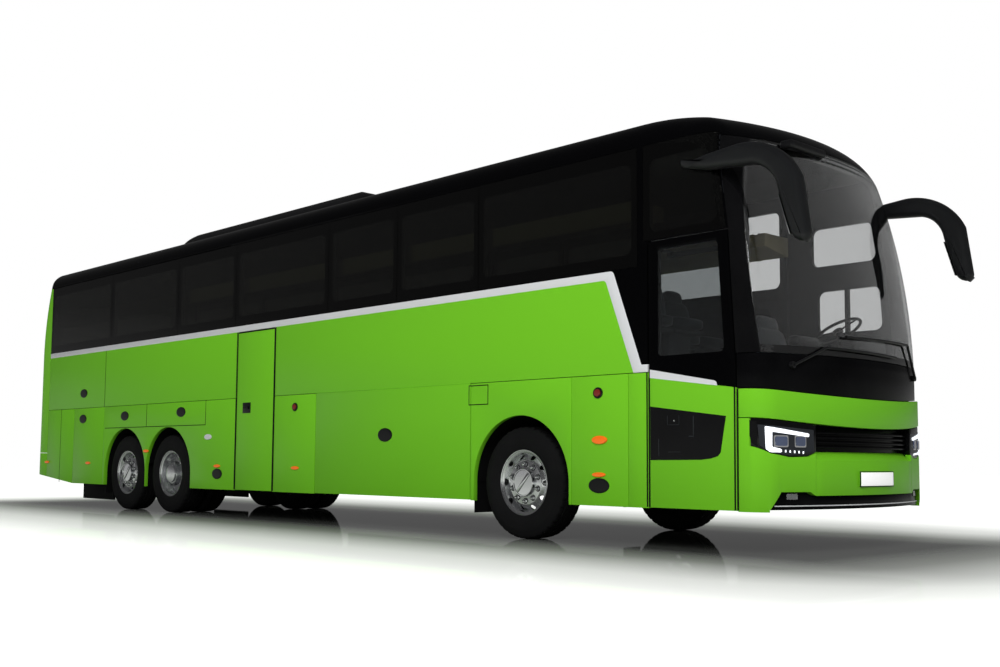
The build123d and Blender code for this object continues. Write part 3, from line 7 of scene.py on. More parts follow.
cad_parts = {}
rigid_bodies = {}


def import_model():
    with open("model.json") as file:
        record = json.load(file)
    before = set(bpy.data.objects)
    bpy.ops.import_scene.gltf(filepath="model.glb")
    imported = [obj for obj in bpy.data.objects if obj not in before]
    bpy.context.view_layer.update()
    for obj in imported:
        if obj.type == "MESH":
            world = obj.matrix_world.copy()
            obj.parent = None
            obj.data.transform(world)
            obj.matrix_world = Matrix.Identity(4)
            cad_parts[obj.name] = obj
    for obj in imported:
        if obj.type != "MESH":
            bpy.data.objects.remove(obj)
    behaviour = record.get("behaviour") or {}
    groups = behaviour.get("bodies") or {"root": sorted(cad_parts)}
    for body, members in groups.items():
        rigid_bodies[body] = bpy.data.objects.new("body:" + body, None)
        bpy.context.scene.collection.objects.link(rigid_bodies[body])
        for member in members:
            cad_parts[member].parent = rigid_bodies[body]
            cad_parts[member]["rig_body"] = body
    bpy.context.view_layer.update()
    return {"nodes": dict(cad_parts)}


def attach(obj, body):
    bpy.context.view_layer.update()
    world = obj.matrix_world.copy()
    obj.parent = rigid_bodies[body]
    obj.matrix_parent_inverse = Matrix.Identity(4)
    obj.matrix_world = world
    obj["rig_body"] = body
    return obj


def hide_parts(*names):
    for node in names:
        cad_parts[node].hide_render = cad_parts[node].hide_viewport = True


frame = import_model()

# Three-axle coach. Metres, +X to the front, +Z up, doors on the -Y side.

SIDE_Y = 1.275
# The green foot of the front door ends on a line that falls to the front: along, up
DOOR_BELT = [(5.376, 1.386), (6.202, 1.277)]
WHEEL_R = 0.508
WHEEL_Y = 1.090
TWIN_PITCH = 0.330
AXLE_X = {"front": 3.875, "drive": -2.655, "tag": -3.875}
NOSE_AXIS_X = 3.350
NOSE_R = 3.325
CORNER_R = 0.250
CORNER_Y = SIDE_Y - CORNER_R
CORNER_X = NOSE_AXIS_X + math.sqrt((NOSE_R - CORNER_R) ** 2 - CORNER_Y ** 2)
CORNER_START = math.asin(CORNER_Y / (NOSE_R - CORNER_R))


# Camera: solved from the photograph

def make_camera():
    yaw, pitch, roll = (math.radians(a) for a in (46.493, -4.947, 0.382))
    back = Vector((math.sin(yaw) * math.cos(pitch), -math.cos(yaw) * math.cos(pitch), math.sin(pitch)))
    level = (-back).cross(Vector((0, 0, 1))).normalized()
    upright = level.cross(-back)
    right = math.cos(roll) * level + math.sin(roll) * upright
    up = math.cos(roll) * upright - math.sin(roll) * level
    lens = bpy.data.cameras.new("photo_camera")
    lens.lens = 41.98
    lens.sensor_width = 36.0
    lens.shift_x = 0.0086
    lens.shift_y = 0.0261
    lens.clip_end = 300.0
    camera = bpy.data.objects.new("photo_camera", lens)
    turn = Matrix((right, up, back)).transposed().to_4x4()
    camera.matrix_world = Matrix.Translation((11.381, -8.755, 0.705)) @ turn
    bpy.context.scene.collection.objects.link(camera)
    bpy.context.scene.camera = camera


# Materials

def linear(code):
    """An sRGB hex colour as linear values."""
    parts = [int(code[k:k + 2], 16) / 255 for k in (1, 3, 5)]
    return (*[v / 12.92 if v <= 0.04045 else ((v + 0.055) / 1.055) ** 2.4 for v in parts], 1.0)


def add_node(tree, kind, inputs=None, **settings):
    """Adds a node; inputs are values or sockets to link, settings are its own properties."""
    made = tree.nodes.new(kind)
    for name, value in settings.items():
        setattr(made, name, value)
    for name, value in (inputs or {}).items():
        if isinstance(value, bpy.types.NodeSocket):
            tree.links.new(value, made.inputs[name])
        else:
            made.inputs[name].default_value = value
    return made


def start_material(name, surface):
    """A material whose shader has the given values, and the coordinates its patterns read."""
    material = bpy.data.materials.new(name)
    material.use_nodes = True
    tree = material.node_tree
    tree.nodes.clear()
    shader = add_node(tree, "ShaderNodeBsdfPrincipled", surface)
    add_node(tree, "ShaderNodeOutputMaterial", {"Surface": shader.outputs["BSDF"]})
    place = add_node(tree, "ShaderNodeTexCoord").outputs["Object"]
    return material, tree, shader, place


def coach_enamel(name, code, dust_and_shade_code, surface, dust_and_shade=0.25):
    """Sprayed two-pack enamel: clear gloss with a faint orange peel, and road dust and painted shade low on the skirt.
    """
    material, tree, shader, place = start_material(name, surface)
    # Orange peel is 2 mm wide on the real coach, and is drawn 30 mm wide so that it shows
    peel = add_node(tree, "ShaderNodeTexNoise", {"Vector": place, "Scale": 33.0, "Detail": 1.0})
    bump = add_node(tree, "ShaderNodeBump", {"Height": peel.outputs["Fac"], "Strength": 0.04, "Distance": 0.002})
    tree.links.new(bump.outputs["Normal"], shader.inputs["Normal"])
    # Low on the body the colour turns in patches to the second colour: partly road dust, partly painted shade on the
    # lower panels
    height = add_node(tree, "ShaderNodeSeparateXYZ", {"Vector": place}).outputs["Z"]
    low = add_node(tree, "ShaderNodeMapRange", {"Value": height, "From Min": 1.2, "From Max": 0.30, "To Max": dust_and_shade})
    patches = add_node(tree, "ShaderNodeTexNoise", {"Vector": place, "Scale": 1.3, "Detail": 4.0})
    dust_and_shade_mask = add_node(tree, "ShaderNodeMath", {0: low.outputs["Result"], 1: patches.outputs["Fac"]},
                    operation="MULTIPLY")
    colour = add_node(tree, "ShaderNodeMix", {0: dust_and_shade_mask.outputs[0], 6: linear(code), 7: linear(dust_and_shade_code)},
                      data_type="RGBA")
    tree.links.new(colour.outputs[2], shader.inputs["Base Color"])
    return material


def plastic(name, code, roughness, grain_mm, relief, surface=None):
    """Moulded plastic or rubber with its fine moulded grain."""
    values = {"Roughness": roughness, "IOR": 1.5, **(surface or {})}
    material, tree, shader, place = start_material(name, values)
    grain = add_node(tree, "ShaderNodeTexNoise", {"Vector": place, "Scale": 1000.0 / grain_mm, "Detail": 2.0})
    bump = add_node(tree, "ShaderNodeBump", {"Height": grain.outputs["Fac"], "Strength": relief, "Distance": 0.001})
    tree.links.new(bump.outputs["Normal"], shader.inputs["Normal"])
    wear = add_node(tree, "ShaderNodeTexNoise", {"Vector": place, "Scale": 3.0, "Detail": 5.0})
    light = [min(1.0, v * 1.6 + 0.004) for v in linear(code)[:3]] + [1.0]
    colour = add_node(tree, "ShaderNodeMix", {0: wear.outputs["Fac"], 6: linear(code), 7: light}, data_type="RGBA")
    tree.links.new(colour.outputs[2], shader.inputs["Base Color"])
    return material


def metal(name, code, roughness, spread, scale):
    """Machined, polished or cast metal, whose gloss varies over the surface."""
    material, tree, shader, place = start_material(name, {"Metallic": 1.0, "Base Color": linear(code)})
    mottle = add_node(tree, "ShaderNodeTexNoise", {"Vector": place, "Scale": scale, "Detail": 4.0})
    gloss = add_node(tree, "ShaderNodeMapRange", {"Value": mottle.outputs["Fac"], "To Min": roughness,
                                                  "To Max": roughness + spread})
    tree.links.new(gloss.outputs["Result"], shader.inputs["Roughness"])
    return material


def glazing(name, code, surface=None):
    """Toughened glass, tinted in the mass; it lets light through darkened by its colour."""
    values = {"Base Color": linear(code), "Roughness": 0.0, "IOR": 1.45, "Transmission Weight": 1.0, **(surface or {})}
    material, tree, shader, place = start_material(name, values)
    # Rolled glass is flat to the eye, with a slow waviness a hand wide that bends reflections a little
    wave = add_node(tree, "ShaderNodeTexNoise", {"Vector": place, "Scale": 4.0, "Detail": 0.0})
    bump = add_node(tree, "ShaderNodeBump", {"Height": wave.outputs["Fac"], "Strength": 0.02, "Distance": 0.01})
    tree.links.new(bump.outputs["Normal"], shader.inputs["Normal"])
    return material


def moquette():
    """Woven seat plush: dark blue-grey, with a thread pattern drawn 4 mm wide and a soft sheen."""
    material, tree, shader, place = start_material("woven_moquette", {"Roughness": 0.9, "Sheen Weight": 0.4})
    turned = add_node(tree, "ShaderNodeMapping", {"Vector": place, "Scale": (250.0, 250.0, 250.0)})
    weave = add_node(tree, "ShaderNodeTexVoronoi", {"Vector": turned.outputs["Vector"], "Scale": 1.0})
    bump = add_node(tree, "ShaderNodeBump", {"Height": weave.outputs["Distance"], "Strength": 0.3, "Distance": 0.002})
    tree.links.new(bump.outputs["Normal"], shader.inputs["Normal"])
    colour = add_node(tree, "ShaderNodeMix", {0: weave.outputs["Distance"], 6: linear("#23272c"),
                                              7: linear("#3c434b")}, data_type="RGBA")
    tree.links.new(colour.outputs[2], shader.inputs["Base Color"])
    return material


def lamp_light(name, code, strength):
    """A glowing material: a lit light guide behind a clear cover, and also painted light where there is no lamp."""
    values = {"Base Color": linear(code), "Roughness": 0.2, "Emission Color": linear(code),
              "Emission Strength": strength}
    return start_material(name, values)[0]


# Two-pack enamel: the green keeps a soft shine, and the black is so deep that only highlights show on it
CLEAR_COAT = {"Roughness": 0.3, "IOR": 1.4, "Specular IOR Level": 0.12, "Coat Weight": 0.05, "Coat Roughness": 0.05}
DARK_COAT = {"Roughness": 0.12, "IOR": 1.25, "Specular IOR Level": 0.15}
# The second colour of each enamel is road dust and painted shade, mixed in low on the body
green_enamel = coach_enamel("green_coach_enamel", "#70c024", "#4c8a1c", CLEAR_COAT)
black_enamel = coach_enamel("black_coach_enamel", "#040405", "#0b0b0b", DARK_COAT)
stripe_film = coach_enamel("silver_white_film", "#d6d7da", "#a9a9a6", {"Roughness": 0.35, "Coat Weight": 0.2})
# Toughened panes: the side ones are nearly black, and the screen's laminated glass is lightly smoked
privacy_glass = glazing("privacy_glass", "#383936", {"Specular IOR Level": 0.10})
laminated_glass = glazing("laminated_glass", "#d8d9d9", {"Specular IOR Level": 0.30})
door_glass = glazing("smoked_door_glass", "#868b8c", {"Specular IOR Level": 0.30})
MATT = {"Specular IOR Level": 0.15}
# Rubber and moulded plastic: the matt ones hardly shine, so they stay darker than the enamel beside them
tyre_rubber = plastic("carbon_black_rubber", "#0c0c0d", 0.75, 6.0, 0.25, MATT)
soft_rubber = plastic("black_rubber_sheet", "#080809", 0.7, 5.0, 0.2, MATT)
black_abs = plastic("black_moulded_abs", "#08080a", 0.4, 4.0, 0.1, {"Specular IOR Level": 0.3})
grey_abs = plastic("grey_moulded_abs", "#3b3d40", 0.6, 4.0, 0.2)
# Blacks of the front: the grille shows only its bars' edges, the bezel is a soft grey, the covers mirror
grille_black = plastic("painted_grille_black", "#020203", 0.2, 30.0, 0.01, {"IOR": 1.2, "Specular IOR Level": 0.15})
lamp_bezel = plastic("dark_lamp_bezel", "#222428", 0.35, 12.0, 0.05, MATT)
gloss_black = plastic("piano_black_cover", "#030304", 0.08, 30.0, 0.01, {"Specular IOR Level": 0.22})
# Inside and below: quiet greys that keep the saloon and the chassis in shadow
vinyl_floor = plastic("speckled_floor_vinyl", "#3a3c3e", 0.6, 3.0, 0.15)
chassis_paint = plastic("black_chassis_paint", "#070708", 0.6, 12.0, 0.2, MATT)
roof_grp = plastic("satin_black_grp", "#08080a", 0.45, 20.0, 0.05, {"Specular IOR Level": 0.25})
dash_trim = plastic("grained_dash_skin", "#1d1f21", 0.7, 4.0, 0.3, MATT)
mirror_shell = plastic("textured_black_shell", "#0a0b0d", 0.5, 4.0, 0.15, {"Specular IOR Level": 0.4})
lining = plastic("dark_side_lining", "#1b1d20", 0.8, 5.0, 0.2, MATT)
rack_cloth = plastic("beige_rack_trim", "#8d8566", 0.8, 5.0, 0.2, MATT)
# Metals: dull mottled castings, rims with a soft changing gloss, nuts and mirrors that reflect sharply
cast_iron = metal("sand_cast_iron", "#3a3a3a", 0.55, 0.25, 60.0)
polished_aluminium = metal("polished_aluminium", "#e8e9eb", 0.12, 0.16, 14.0)
chrome = metal("bright_chrome", "#e2e3e5", 0.03, 0.05, 20.0)
# Lamps and small coloured pieces: lit white guides, deep blue lenses, amber that glows a little, dark red
light_guide = lamp_light("white_light_guide", "#f4f8ff", 1.0)
clear_lens = glazing("clear_lamp_lens", "#dfe8f5")
blue_lens = plastic("coated_projector_lens", "#39425a", 0.05, 30.0, 0.01, {"Coat Weight": 1.0})
amber_lens = plastic("amber_lens", "#e8640c", 0.15, 8.0, 0.15, {"Emission Color": linear("#e8640c"),
                                                             "Emission Strength": 0.15})
red_lens = plastic("red_lens", "#a30c0c", 0.12, 8.0, 0.15)
red_knob = plastic("red_moulded_knob", "#6b1710", 0.35, 8.0, 0.1)
# The blank number plate glows a little: painted light that makes it whiter than the lamps alone light it
glowing_white_plate = plastic("white_number_plate_painted_glow", "#ffffff", 0.3, 10.0, 0.03, {"Emission Color": linear("#ffffff"),
                                                                       "Emission Strength": 0.3})
# Painted light: the strips behind the side panes glow, standing for the far side's windows seen through the coach
painted_window_glow = lamp_light("painted_window_light", "#b9b98a", 0.12)
seat_plush = moquette()


# Small helpers for pieces

def finish_piece(name, form, material, body="root", angle=35.0, zones=()):
    """Makes the object of a finished bmesh, smooth except over its sharp edges, and lets it ride.

    zones are further materials, each with a rule that takes a face's centre and normal."""
    limit = math.radians(angle)
    for edge in form.edges:
        edge.smooth = len(edge.link_faces) == 2 and edge.calc_face_angle(0.0) < limit
    for face in form.faces:
        face.smooth = True
        for slot, (_, rule) in enumerate(zones, 1):
            if rule(face.calc_center_median(), face.normal):
                face.material_index = slot
    mesh = bpy.data.meshes.new(name)
    form.to_mesh(mesh)
    form.free()
    for finish in (material, *(zone[0] for zone in zones)):
        mesh.materials.append(finish)
    piece = bpy.data.objects.new(name, mesh)
    bpy.context.scene.collection.objects.link(piece)
    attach(piece, body)
    return piece


def finish_solid(name, form, material, body="root"):
    """Turns a closed form's faces outwards and finishes it."""
    bmesh.ops.recalc_face_normals(form, faces=form.faces)
    return finish_piece(name, form, material, body)


def as_mesh(form):
    """Turns a form into a mesh that can be copied."""
    mesh = bpy.data.meshes.new("copied_form")
    form.to_mesh(mesh)
    form.free()
    return mesh


def place_copies(mesh, places):
    """One form with a copy of the mesh at each place."""
    whole = bmesh.new()
    for place in places:
        count = len(whole.verts)
        whole.from_mesh(mesh)
        whole.verts.ensure_lookup_table()
        bmesh.ops.translate(whole, vec=place, verts=whole.verts[count:])
    bpy.data.meshes.remove(mesh)
    return whole


def dressed(node, material, bevel=0.0, zones=(), cut=None, steps=2, angle=35.0, clamp=True):
    """A merged, smooth-shaded copy of a CAD node that stands for it, its edges rounded by a bevel.

    cut is a plane, as a point and a normal, along which the faces part so that a zone can end there."""
    source = frame["nodes"][node]
    form = bmesh.new()
    form.from_mesh(source.data)
    bmesh.ops.remove_doubles(form, verts=form.verts, dist=0.00002)
    if bevel:
        bmesh.ops.dissolve_limit(form, angle_limit=math.radians(0.02), verts=form.verts, edges=form.edges,
                                 use_dissolve_boundaries=False)
        sharp = [e for e in form.edges if len(e.link_faces) == 2 and e.calc_face_angle(0.0) > math.radians(angle)]
        bmesh.ops.bevel(form, geom=sharp, offset=bevel, segments=steps, profile=0.5, affect="EDGES", material=-1,
                        clamp_overlap=clamp)
    if cut:
        geom = list(form.verts) + list(form.edges) + list(form.faces)
        bmesh.ops.bisect_plane(form, geom=geom, dist=0.00001, plane_co=cut[0], plane_no=cut[1])
    piece = finish_piece(node + "_finished", form, material, source["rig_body"], angle, zones)
    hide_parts(node)
    return piece


def slab(form, low, high, radius=0.0, steps=2):
    """Adds a block between two corners, with rounded edges."""
    size = Vector(high) - Vector(low)
    middle = (Vector(high) + Vector(low)) / 2
    place = Matrix.Translation(middle) @ Matrix.Diagonal((*size, 1.0))
    made = bmesh.ops.create_cube(form, size=1.0, matrix=place)["verts"]
    if radius:
        edges = list({e for v in made for e in v.link_edges})
        bmesh.ops.bevel(form, geom=edges, offset=radius, segments=steps, profile=0.5, affect="EDGES", material=-1)


def lathe(form, outline, closed=False, steps=64):
    """Spins an outline of (y, radius) about the Y axis."""
    verts = [form.verts.new((r, 0.0, 0.0)) for y, r in outline]
    for vert, (y, r) in zip(verts, outline):
        vert.co.y = y
    pairs = list(zip(verts, verts[1:])) + ([(verts[-1], verts[0])] if closed else [])
    edges = [form.edges.new(pair) for pair in pairs]
    bmesh.ops.spin(form, geom=verts + edges, cent=(0, 0, 0), axis=(0, 1, 0), dvec=(0, 0, 0), angle=2 * math.pi,
                   steps=steps, use_merge=True)
    bmesh.ops.remove_doubles(form, verts=form.verts, dist=0.00001)


# Wheels

# Tyre section from the rim's flange over the tread's middle: distance from the wheel's middle plane, radius
TYRE_HALF = [
    (0.125, 0.299), (0.133, 0.306), (0.138, 0.325), (0.1415, 0.345), (0.1435, 0.350), (0.1445, 0.375),
    (0.145, 0.400), (0.1445, 0.425), (0.1425, 0.445), (0.1400, 0.450), (0.1385, 0.462), (0.133, 0.480),
    (0.127, 0.492), (0.1215, 0.499), (0.116, 0.5035), (0.095, 0.5055), (0.076, 0.5065), (0.0745, 0.494),
    (0.0655, 0.494), (0.064, 0.507), (0.036, 0.5078), (0.0345, 0.494), (0.0255, 0.494), (0.024, 0.508),
    (0.0, 0.508),
]
BEAD_Y = 0.115
BEAD_R = 0.299
TREAD_STEPS = 120
CUT_DEPTH = 0.007


def make_tyre(name, body, centres, *nodes):
    """Tyres with grooved treads and cross cuts in their shoulders, joined as one piece."""
    form = bmesh.new()
    outline = TYRE_HALF + [(-y, r) for y, r in TYRE_HALF[-2::-1]] + [(-BEAD_Y, BEAD_R), (BEAD_Y, BEAD_R)]
    lathe(form, outline, True, TREAD_STEPS)
    bmesh.ops.recalc_face_normals(form, faces=form.faces)
    form.faces.ensure_lookup_table()
    turn = 2 * math.pi / TREAD_STEPS
    cuts = []
    for face in form.faces:
        middle = face.calc_center_median()
        radius = math.hypot(middle.x, middle.z)
        step = int((math.atan2(middle.z, middle.x) + math.pi) / turn)
        if radius > 0.4935 and 0.078 < abs(middle.y) < 0.125 and step % 3 == 0:
            cuts.append(face)
    grown = bmesh.ops.extrude_face_region(form, geom=cuts)
    bmesh.ops.delete(form, geom=cuts, context="FACES_ONLY")
    for vert in [g for g in grown["geom"] if isinstance(g, bmesh.types.BMVert)]:
        radius = math.hypot(vert.co.x, vert.co.z)
        vert.co.x *= 1 - CUT_DEPTH / radius
        vert.co.z *= 1 - CUT_DEPTH / radius
    piece = finish_piece(name, place_copies(as_mesh(form), centres), tyre_rubber, body, 40.0)
    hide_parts(*nodes)


NUT_CIRCLE_R = 0.167
NUT_COUNT = 10
# Lower radius, upper radius, depth and sides of a nut's collar, hexagon, dome and tip, and of the dark disc under it, a
# painted shadow
NUT_STACK = [(0.022, 0.021, 0.004, 20), (0.019, 0.019, 0.018, 6), (0.0175, 0.014, 0.010, 16), (0.014, 0.005, 0.005, 16)]
NUT_SHADOW_DISC = [(0.029, 0.028, 0.004, 24)]
PLATE_FACE = 0.104
PLATE_R = 0.208
DRIVE_PLATE_FACE = -0.092
HUB_FACE = 0.132
HUB_COVER_R = 0.126
RIM_FLANGE = 0.125


def nut_ring(form, y_face, stack):
    """Adds turned parts, stacked outwards from a face, at each nut's place."""
    for k in range(NUT_COUNT):
        turn = 2 * math.pi * (k + 0.5) / NUT_COUNT
        place = Vector((NUT_CIRCLE_R * math.cos(turn), y_face, NUT_CIRCLE_R * math.sin(turn)))
        base = 0.0
        for r_low, r_high, depth, sides in stack:
            move = Matrix.Translation(place + Vector((0, base + depth / 2, 0))) @ Matrix.Rotation(-math.pi / 2, 4, "X")
            bmesh.ops.create_cone(form, cap_ends=True, segments=sides, radius1=r_low, radius2=r_high, depth=depth,
                                  matrix=move)
            base += depth


def nut_shadow_discs(name, body, y_face, side, centre):
    """Painted shadows under the nuts: dark discs in the black rubber material."""
    form = bmesh.new()
    nut_ring(form, y_face - NUT_SHADOW_DISC[0][2] / 2, NUT_SHADOW_DISC)
    turn_to_side(form, side, centre)
    finish_piece(name, form, soft_rubber, body)


def hub_cover(form, y_face):
    """Adds the hub's cover: a turned dish with a raised rim, and a low bar across it."""
    r = HUB_COVER_R
    lathe(form, [(PLATE_FACE, r), (y_face + 0.006, r), (y_face + 0.010, r - 0.004), (y_face + 0.010, r - 0.010),
                 (y_face + 0.004, r - 0.014), (y_face + 0.005, 0.0)], False, 64)
    bar = Matrix.Translation((0, y_face + 0.006, 0)) @ Matrix.Rotation(math.radians(48), 4, "Y")
    bar = bar @ Matrix.Diagonal((2 * r - 0.034, 0.014, 0.030, 1.0))
    made = bmesh.ops.create_cube(form, size=1.0, matrix=bar)["verts"]
    edges = list({e for v in made for e in v.link_edges})
    bmesh.ops.bevel(form, geom=edges, offset=0.004, segments=2, profile=0.5, affect="EDGES", material=-1)


def plate_edge(form):
    """Adds the raised edge round the wheel's bolting face."""
    y, r = PLATE_FACE, PLATE_R
    lathe(form, [(y - 0.004, r + 0.001), (y + 0.003, r), (y + 0.005, r - 0.004), (y + 0.003, r - 0.008),
                 (y - 0.004, r - 0.009)], True, 96)


def rim_lip(form):
    """Adds the rolled lip of the rim's outer flange."""
    y = RIM_FLANGE
    lathe(form, [(y - 0.004, 0.2975), (y + 0.002, 0.2995), (y + 0.005, 0.297), (y + 0.003, 0.290), (y - 0.004, 0.288)],
          True, 128)


def turn_to_side(form, side, centre):
    """Turns a form made for the left side to its own side and moves it to a wheel's centre."""
    if side < 0:
        bmesh.ops.rotate(form, cent=(0, 0, 0), matrix=Matrix.Rotation(math.pi, 3, "Z"), verts=form.verts)
    bmesh.ops.translate(form, vec=centre, verts=form.verts)
    bmesh.ops.recalc_face_normals(form, faces=form.faces)


def make_wheels():
    for side, word in ((-1, "right"), (1, "left")):
        for place in ("front", "tag"):
            body = f"{place}_wheel_{word}"
            centre = Vector((AXLE_X[place], side * WHEEL_Y, WHEEL_R))
            make_tyre(f"treaded_tyre_{place}_{word}", body, [centre], f"tyre_{place}_{word}")
            dressed(f"rim_{place}_{word}", polished_aluminium, 0.0012)
            form = bmesh.new()
            nut_ring(form, PLATE_FACE, NUT_STACK)
            hub_cover(form, HUB_FACE)
            plate_edge(form)
            rim_lip(form)
            turn_to_side(form, side, centre)
            finish_piece(f"nuts_and_cover_{place}_{word}", form, chrome, body)
            nut_shadow_discs(f"nut_discs_{place}_{word}", body, PLATE_FACE, side, centre)
        body = f"drive_wheels_{word}"
        centres = [Vector((AXLE_X["drive"], side * y, WHEEL_R)) for y in (WHEEL_Y, WHEEL_Y - TWIN_PITCH)]
        make_tyre(f"treaded_tyres_drive_{word}", body, centres, f"tyres_drive_{word}")
        dressed(f"rims_drive_{word}", polished_aluminium, 0.0012)
        form = bmesh.new()
        nut_ring(form, DRIVE_PLATE_FACE, NUT_STACK)
        rim_lip(form)
        turn_to_side(form, side, centres[0])
        finish_piece(f"nuts_drive_{word}", form, chrome, body)
        nut_shadow_discs(f"nut_discs_drive_{word}", body, DRIVE_PLATE_FACE, side, centres[0])


# Things on the flat sides: place along and up, on the right side, and the left where both is true

LOCKS = [(-5.230, 1.651), (-5.230, 1.275), (-3.900, 1.289), (-2.325, 1.304), (-1.386, 0.520), (4.831, 0.500)]
FLAP_LOCK = (1.920, 0.960)
MARKERS = [(-6.453, 0.637), (-5.010, 0.631), (-3.244, 0.802), (-1.391, 0.616), (0.302, 0.607), (4.831, 0.592)]
TURN_SIGNAL = (4.840, 0.885)
KNOBS = [(0.276, 1.295), (4.821, 1.284)]
OVAL_LAMP = (-1.625, 0.975)
# Half length, half height and rise of each kind
LOCK_SIZE = (0.115, 0.064, 0.008)
FLAP_LOCK_SIZE = (0.115, 0.070, 0.010)
MARKER_SIZE = (0.075, 0.020, 0.012)
TURN_SIGNAL_SIZE = (0.085, 0.036, 0.016)
KNOB_RING_SIZE = (0.054, 0.048, 0.010)
KNOB_SIZE = (0.036, 0.032, 0.020)
OVAL_LAMP_SIZE = (0.087, 0.035, 0.010)


def button(form, place, size, side):
    """Adds a low oval button with a round shoulder to a side wall."""
    x, z = place
    rx, rz, rise = size
    before = set(form.verts)
    lathe(form, [(-0.002, 0.0), (-0.002, 1.0), (rise * 0.5, 1.0), (rise * 0.9, 0.93), (rise, 0.80),
                 (rise * 0.8, 0.0)], False, 32)
    made = [v for v in form.verts if v not in before]
    bmesh.ops.scale(form, vec=(rx, 1, rz), verts=made)
    if side < 0:
        bmesh.ops.rotate(form, cent=(0, 0, 0), matrix=Matrix.Rotation(math.pi, 3, "Z"), verts=made)
    bmesh.ops.translate(form, vec=(x, side * SIDE_Y, z), verts=made)


def make_side_fittings():
    locks, markers, knobs, rings, caps = (bmesh.new() for k in range(5))
    for side in (-1, 1):
        for place in LOCKS:
            button(locks, place, LOCK_SIZE, side)
        for place in MARKERS:
            button(markers, place, MARKER_SIZE, side)
        button(markers, TURN_SIGNAL, TURN_SIGNAL_SIZE, side)
        for place in KNOBS:
            button(rings, place, KNOB_RING_SIZE, side)
            button(knobs, place, KNOB_SIZE, side)
    button(caps, OVAL_LAMP, OVAL_LAMP_SIZE, -1)
    finish_solid("flap_locks", locks, black_abs)
    finish_solid("side_markers", markers, amber_lens)
    finish_solid("emergency_knobs", knobs, red_knob)
    finish_solid("knob_rings", rings, black_abs)
    finish_solid("oval_lamp", caps, stripe_film)
    for side, word in ((-1, "right"), (1, "left")):
        form = bmesh.new()
        button(form, FLAP_LOCK, FLAP_LOCK_SIZE, side)
        finish_solid(f"flap_handle_{word}", form, black_abs, f"luggage_flap_{word}")


# Fine seams of small flaps, drawn as thin dark lines on the panels, and two rubber pieces

SEAM_W = 0.009
PANEL_LINES = [
    # x0, z0, x1, z1 on the side wall
    (-4.496, 1.128, -1.700, 1.128), (-3.259, 1.128, -3.259, 1.434), (-1.700, 1.128, -1.700, 1.434),
    (3.195, 1.230, 3.457, 1.230), (3.457, 1.230, 3.457, 1.410), (3.195, 1.410, 3.457, 1.410),
    (3.195, 1.230, 3.195, 1.410), (-4.541, 1.440, -4.541, 2.236), (-5.990, 0.345, -5.990, 1.430),
]


def make_panel_lines():
    """Seams of the small flaps, the rubber over the middle door, and the guards behind the tag wheels."""
    form = bmesh.new()
    for side in (-1, 1):
        for x0, z0, x1, z1 in PANEL_LINES:
            half = SEAM_W / 2
            y0, y1 = sorted((side * (SIDE_Y - 0.004), side * (SIDE_Y + 0.0012)))
            slab(form, (min(x0, x1) - half, y0, min(z0, z1) - half), (max(x0, x1) + half, y1, max(z0, z1) + half))
    finish_piece("small_flap_seams", form, soft_rubber)
    form = bmesh.new()
    slab(form, (-0.964, -SIDE_Y - 0.0018, 2.220), (-0.172, -SIDE_Y + 0.004, 2.234))
    finish_piece("middle_door_head_rubber", form, soft_rubber, "middle_door")
    form = bmesh.new()
    for side in (-1, 1):
        y0, y1 = sorted((side * 1.080, side * 1.120))
        slab(form, (-5.480, y0, 0.110), (-4.490, y1, 0.370), 0.010)
    finish_piece("rear_spray_guards", form, soft_rubber)


# The front door's black insert and stripe, the doors' rubber edges, and the middle door's handle: along, up

INSERT = [(5.386, 1.152), (6.123, 1.059), (6.071, 0.778), (6.045, 0.750), (5.980, 0.732), (5.885, 0.722),
          (5.386, 0.717)]
INSERT_STEPS = [
    # x0, z0, x1, z1 of the low ridges and recess edges inside the insert
    (5.812, 0.914, 5.824, 1.067), (5.771, 0.899, 5.824, 0.911), (5.468, 0.747, 5.478, 0.888),
    (5.569, 0.779, 5.689, 0.785), (5.559, 0.996, 5.566, 1.073), (5.675, 0.996, 5.681, 1.073),
    (5.559, 0.996, 5.681, 1.002),
]
DOOR_BUTTON = (5.629, 1.030)
DOOR_BUTTON_SIZE = (0.008, 0.008, 0.008)
DOOR_STRIPE = [(5.384, 1.453), (6.018, 1.337), (6.033, 1.330), (6.040, 1.318), (6.045, 1.296), (5.384, 1.385)]
DOOR_EDGES = [
    # x at the foot, x at the head, top, body that carries it
    (-0.989, -0.989, 2.236, "root"), (-0.970, -0.970, 2.229, "middle_door"),
    (-0.166, -0.166, 2.229, "middle_door"), (-0.147, -0.147, 2.236, "root"),
    (5.352, 5.352, 1.432, "root"), (5.376, 5.376, 1.386, "front_door"),
    (6.200, 6.204, 1.278, "front_door"), (6.226, 6.232, 1.262, "root"),
]
EDGE_W = 0.014
EDGE_FOOT = 0.340


def push_out(form, points, way):
    """Adds a face with the given corners and pushes it along Y into a plate."""
    face = form.faces.new([form.verts.new(point) for point in points])
    made = bmesh.ops.extrude_face_region(form, geom=[face])["geom"]
    bmesh.ops.translate(form, vec=(0, way, 0), verts=[g for g in made if isinstance(g, bmesh.types.BMVert)])


def side_plate(form, points, low, high):
    """Adds a plate on the right side, with an outline of (along, up), between two distances outwards."""
    push_out(form, [(x, -SIDE_Y - low, z) for x, z in points], low - high)


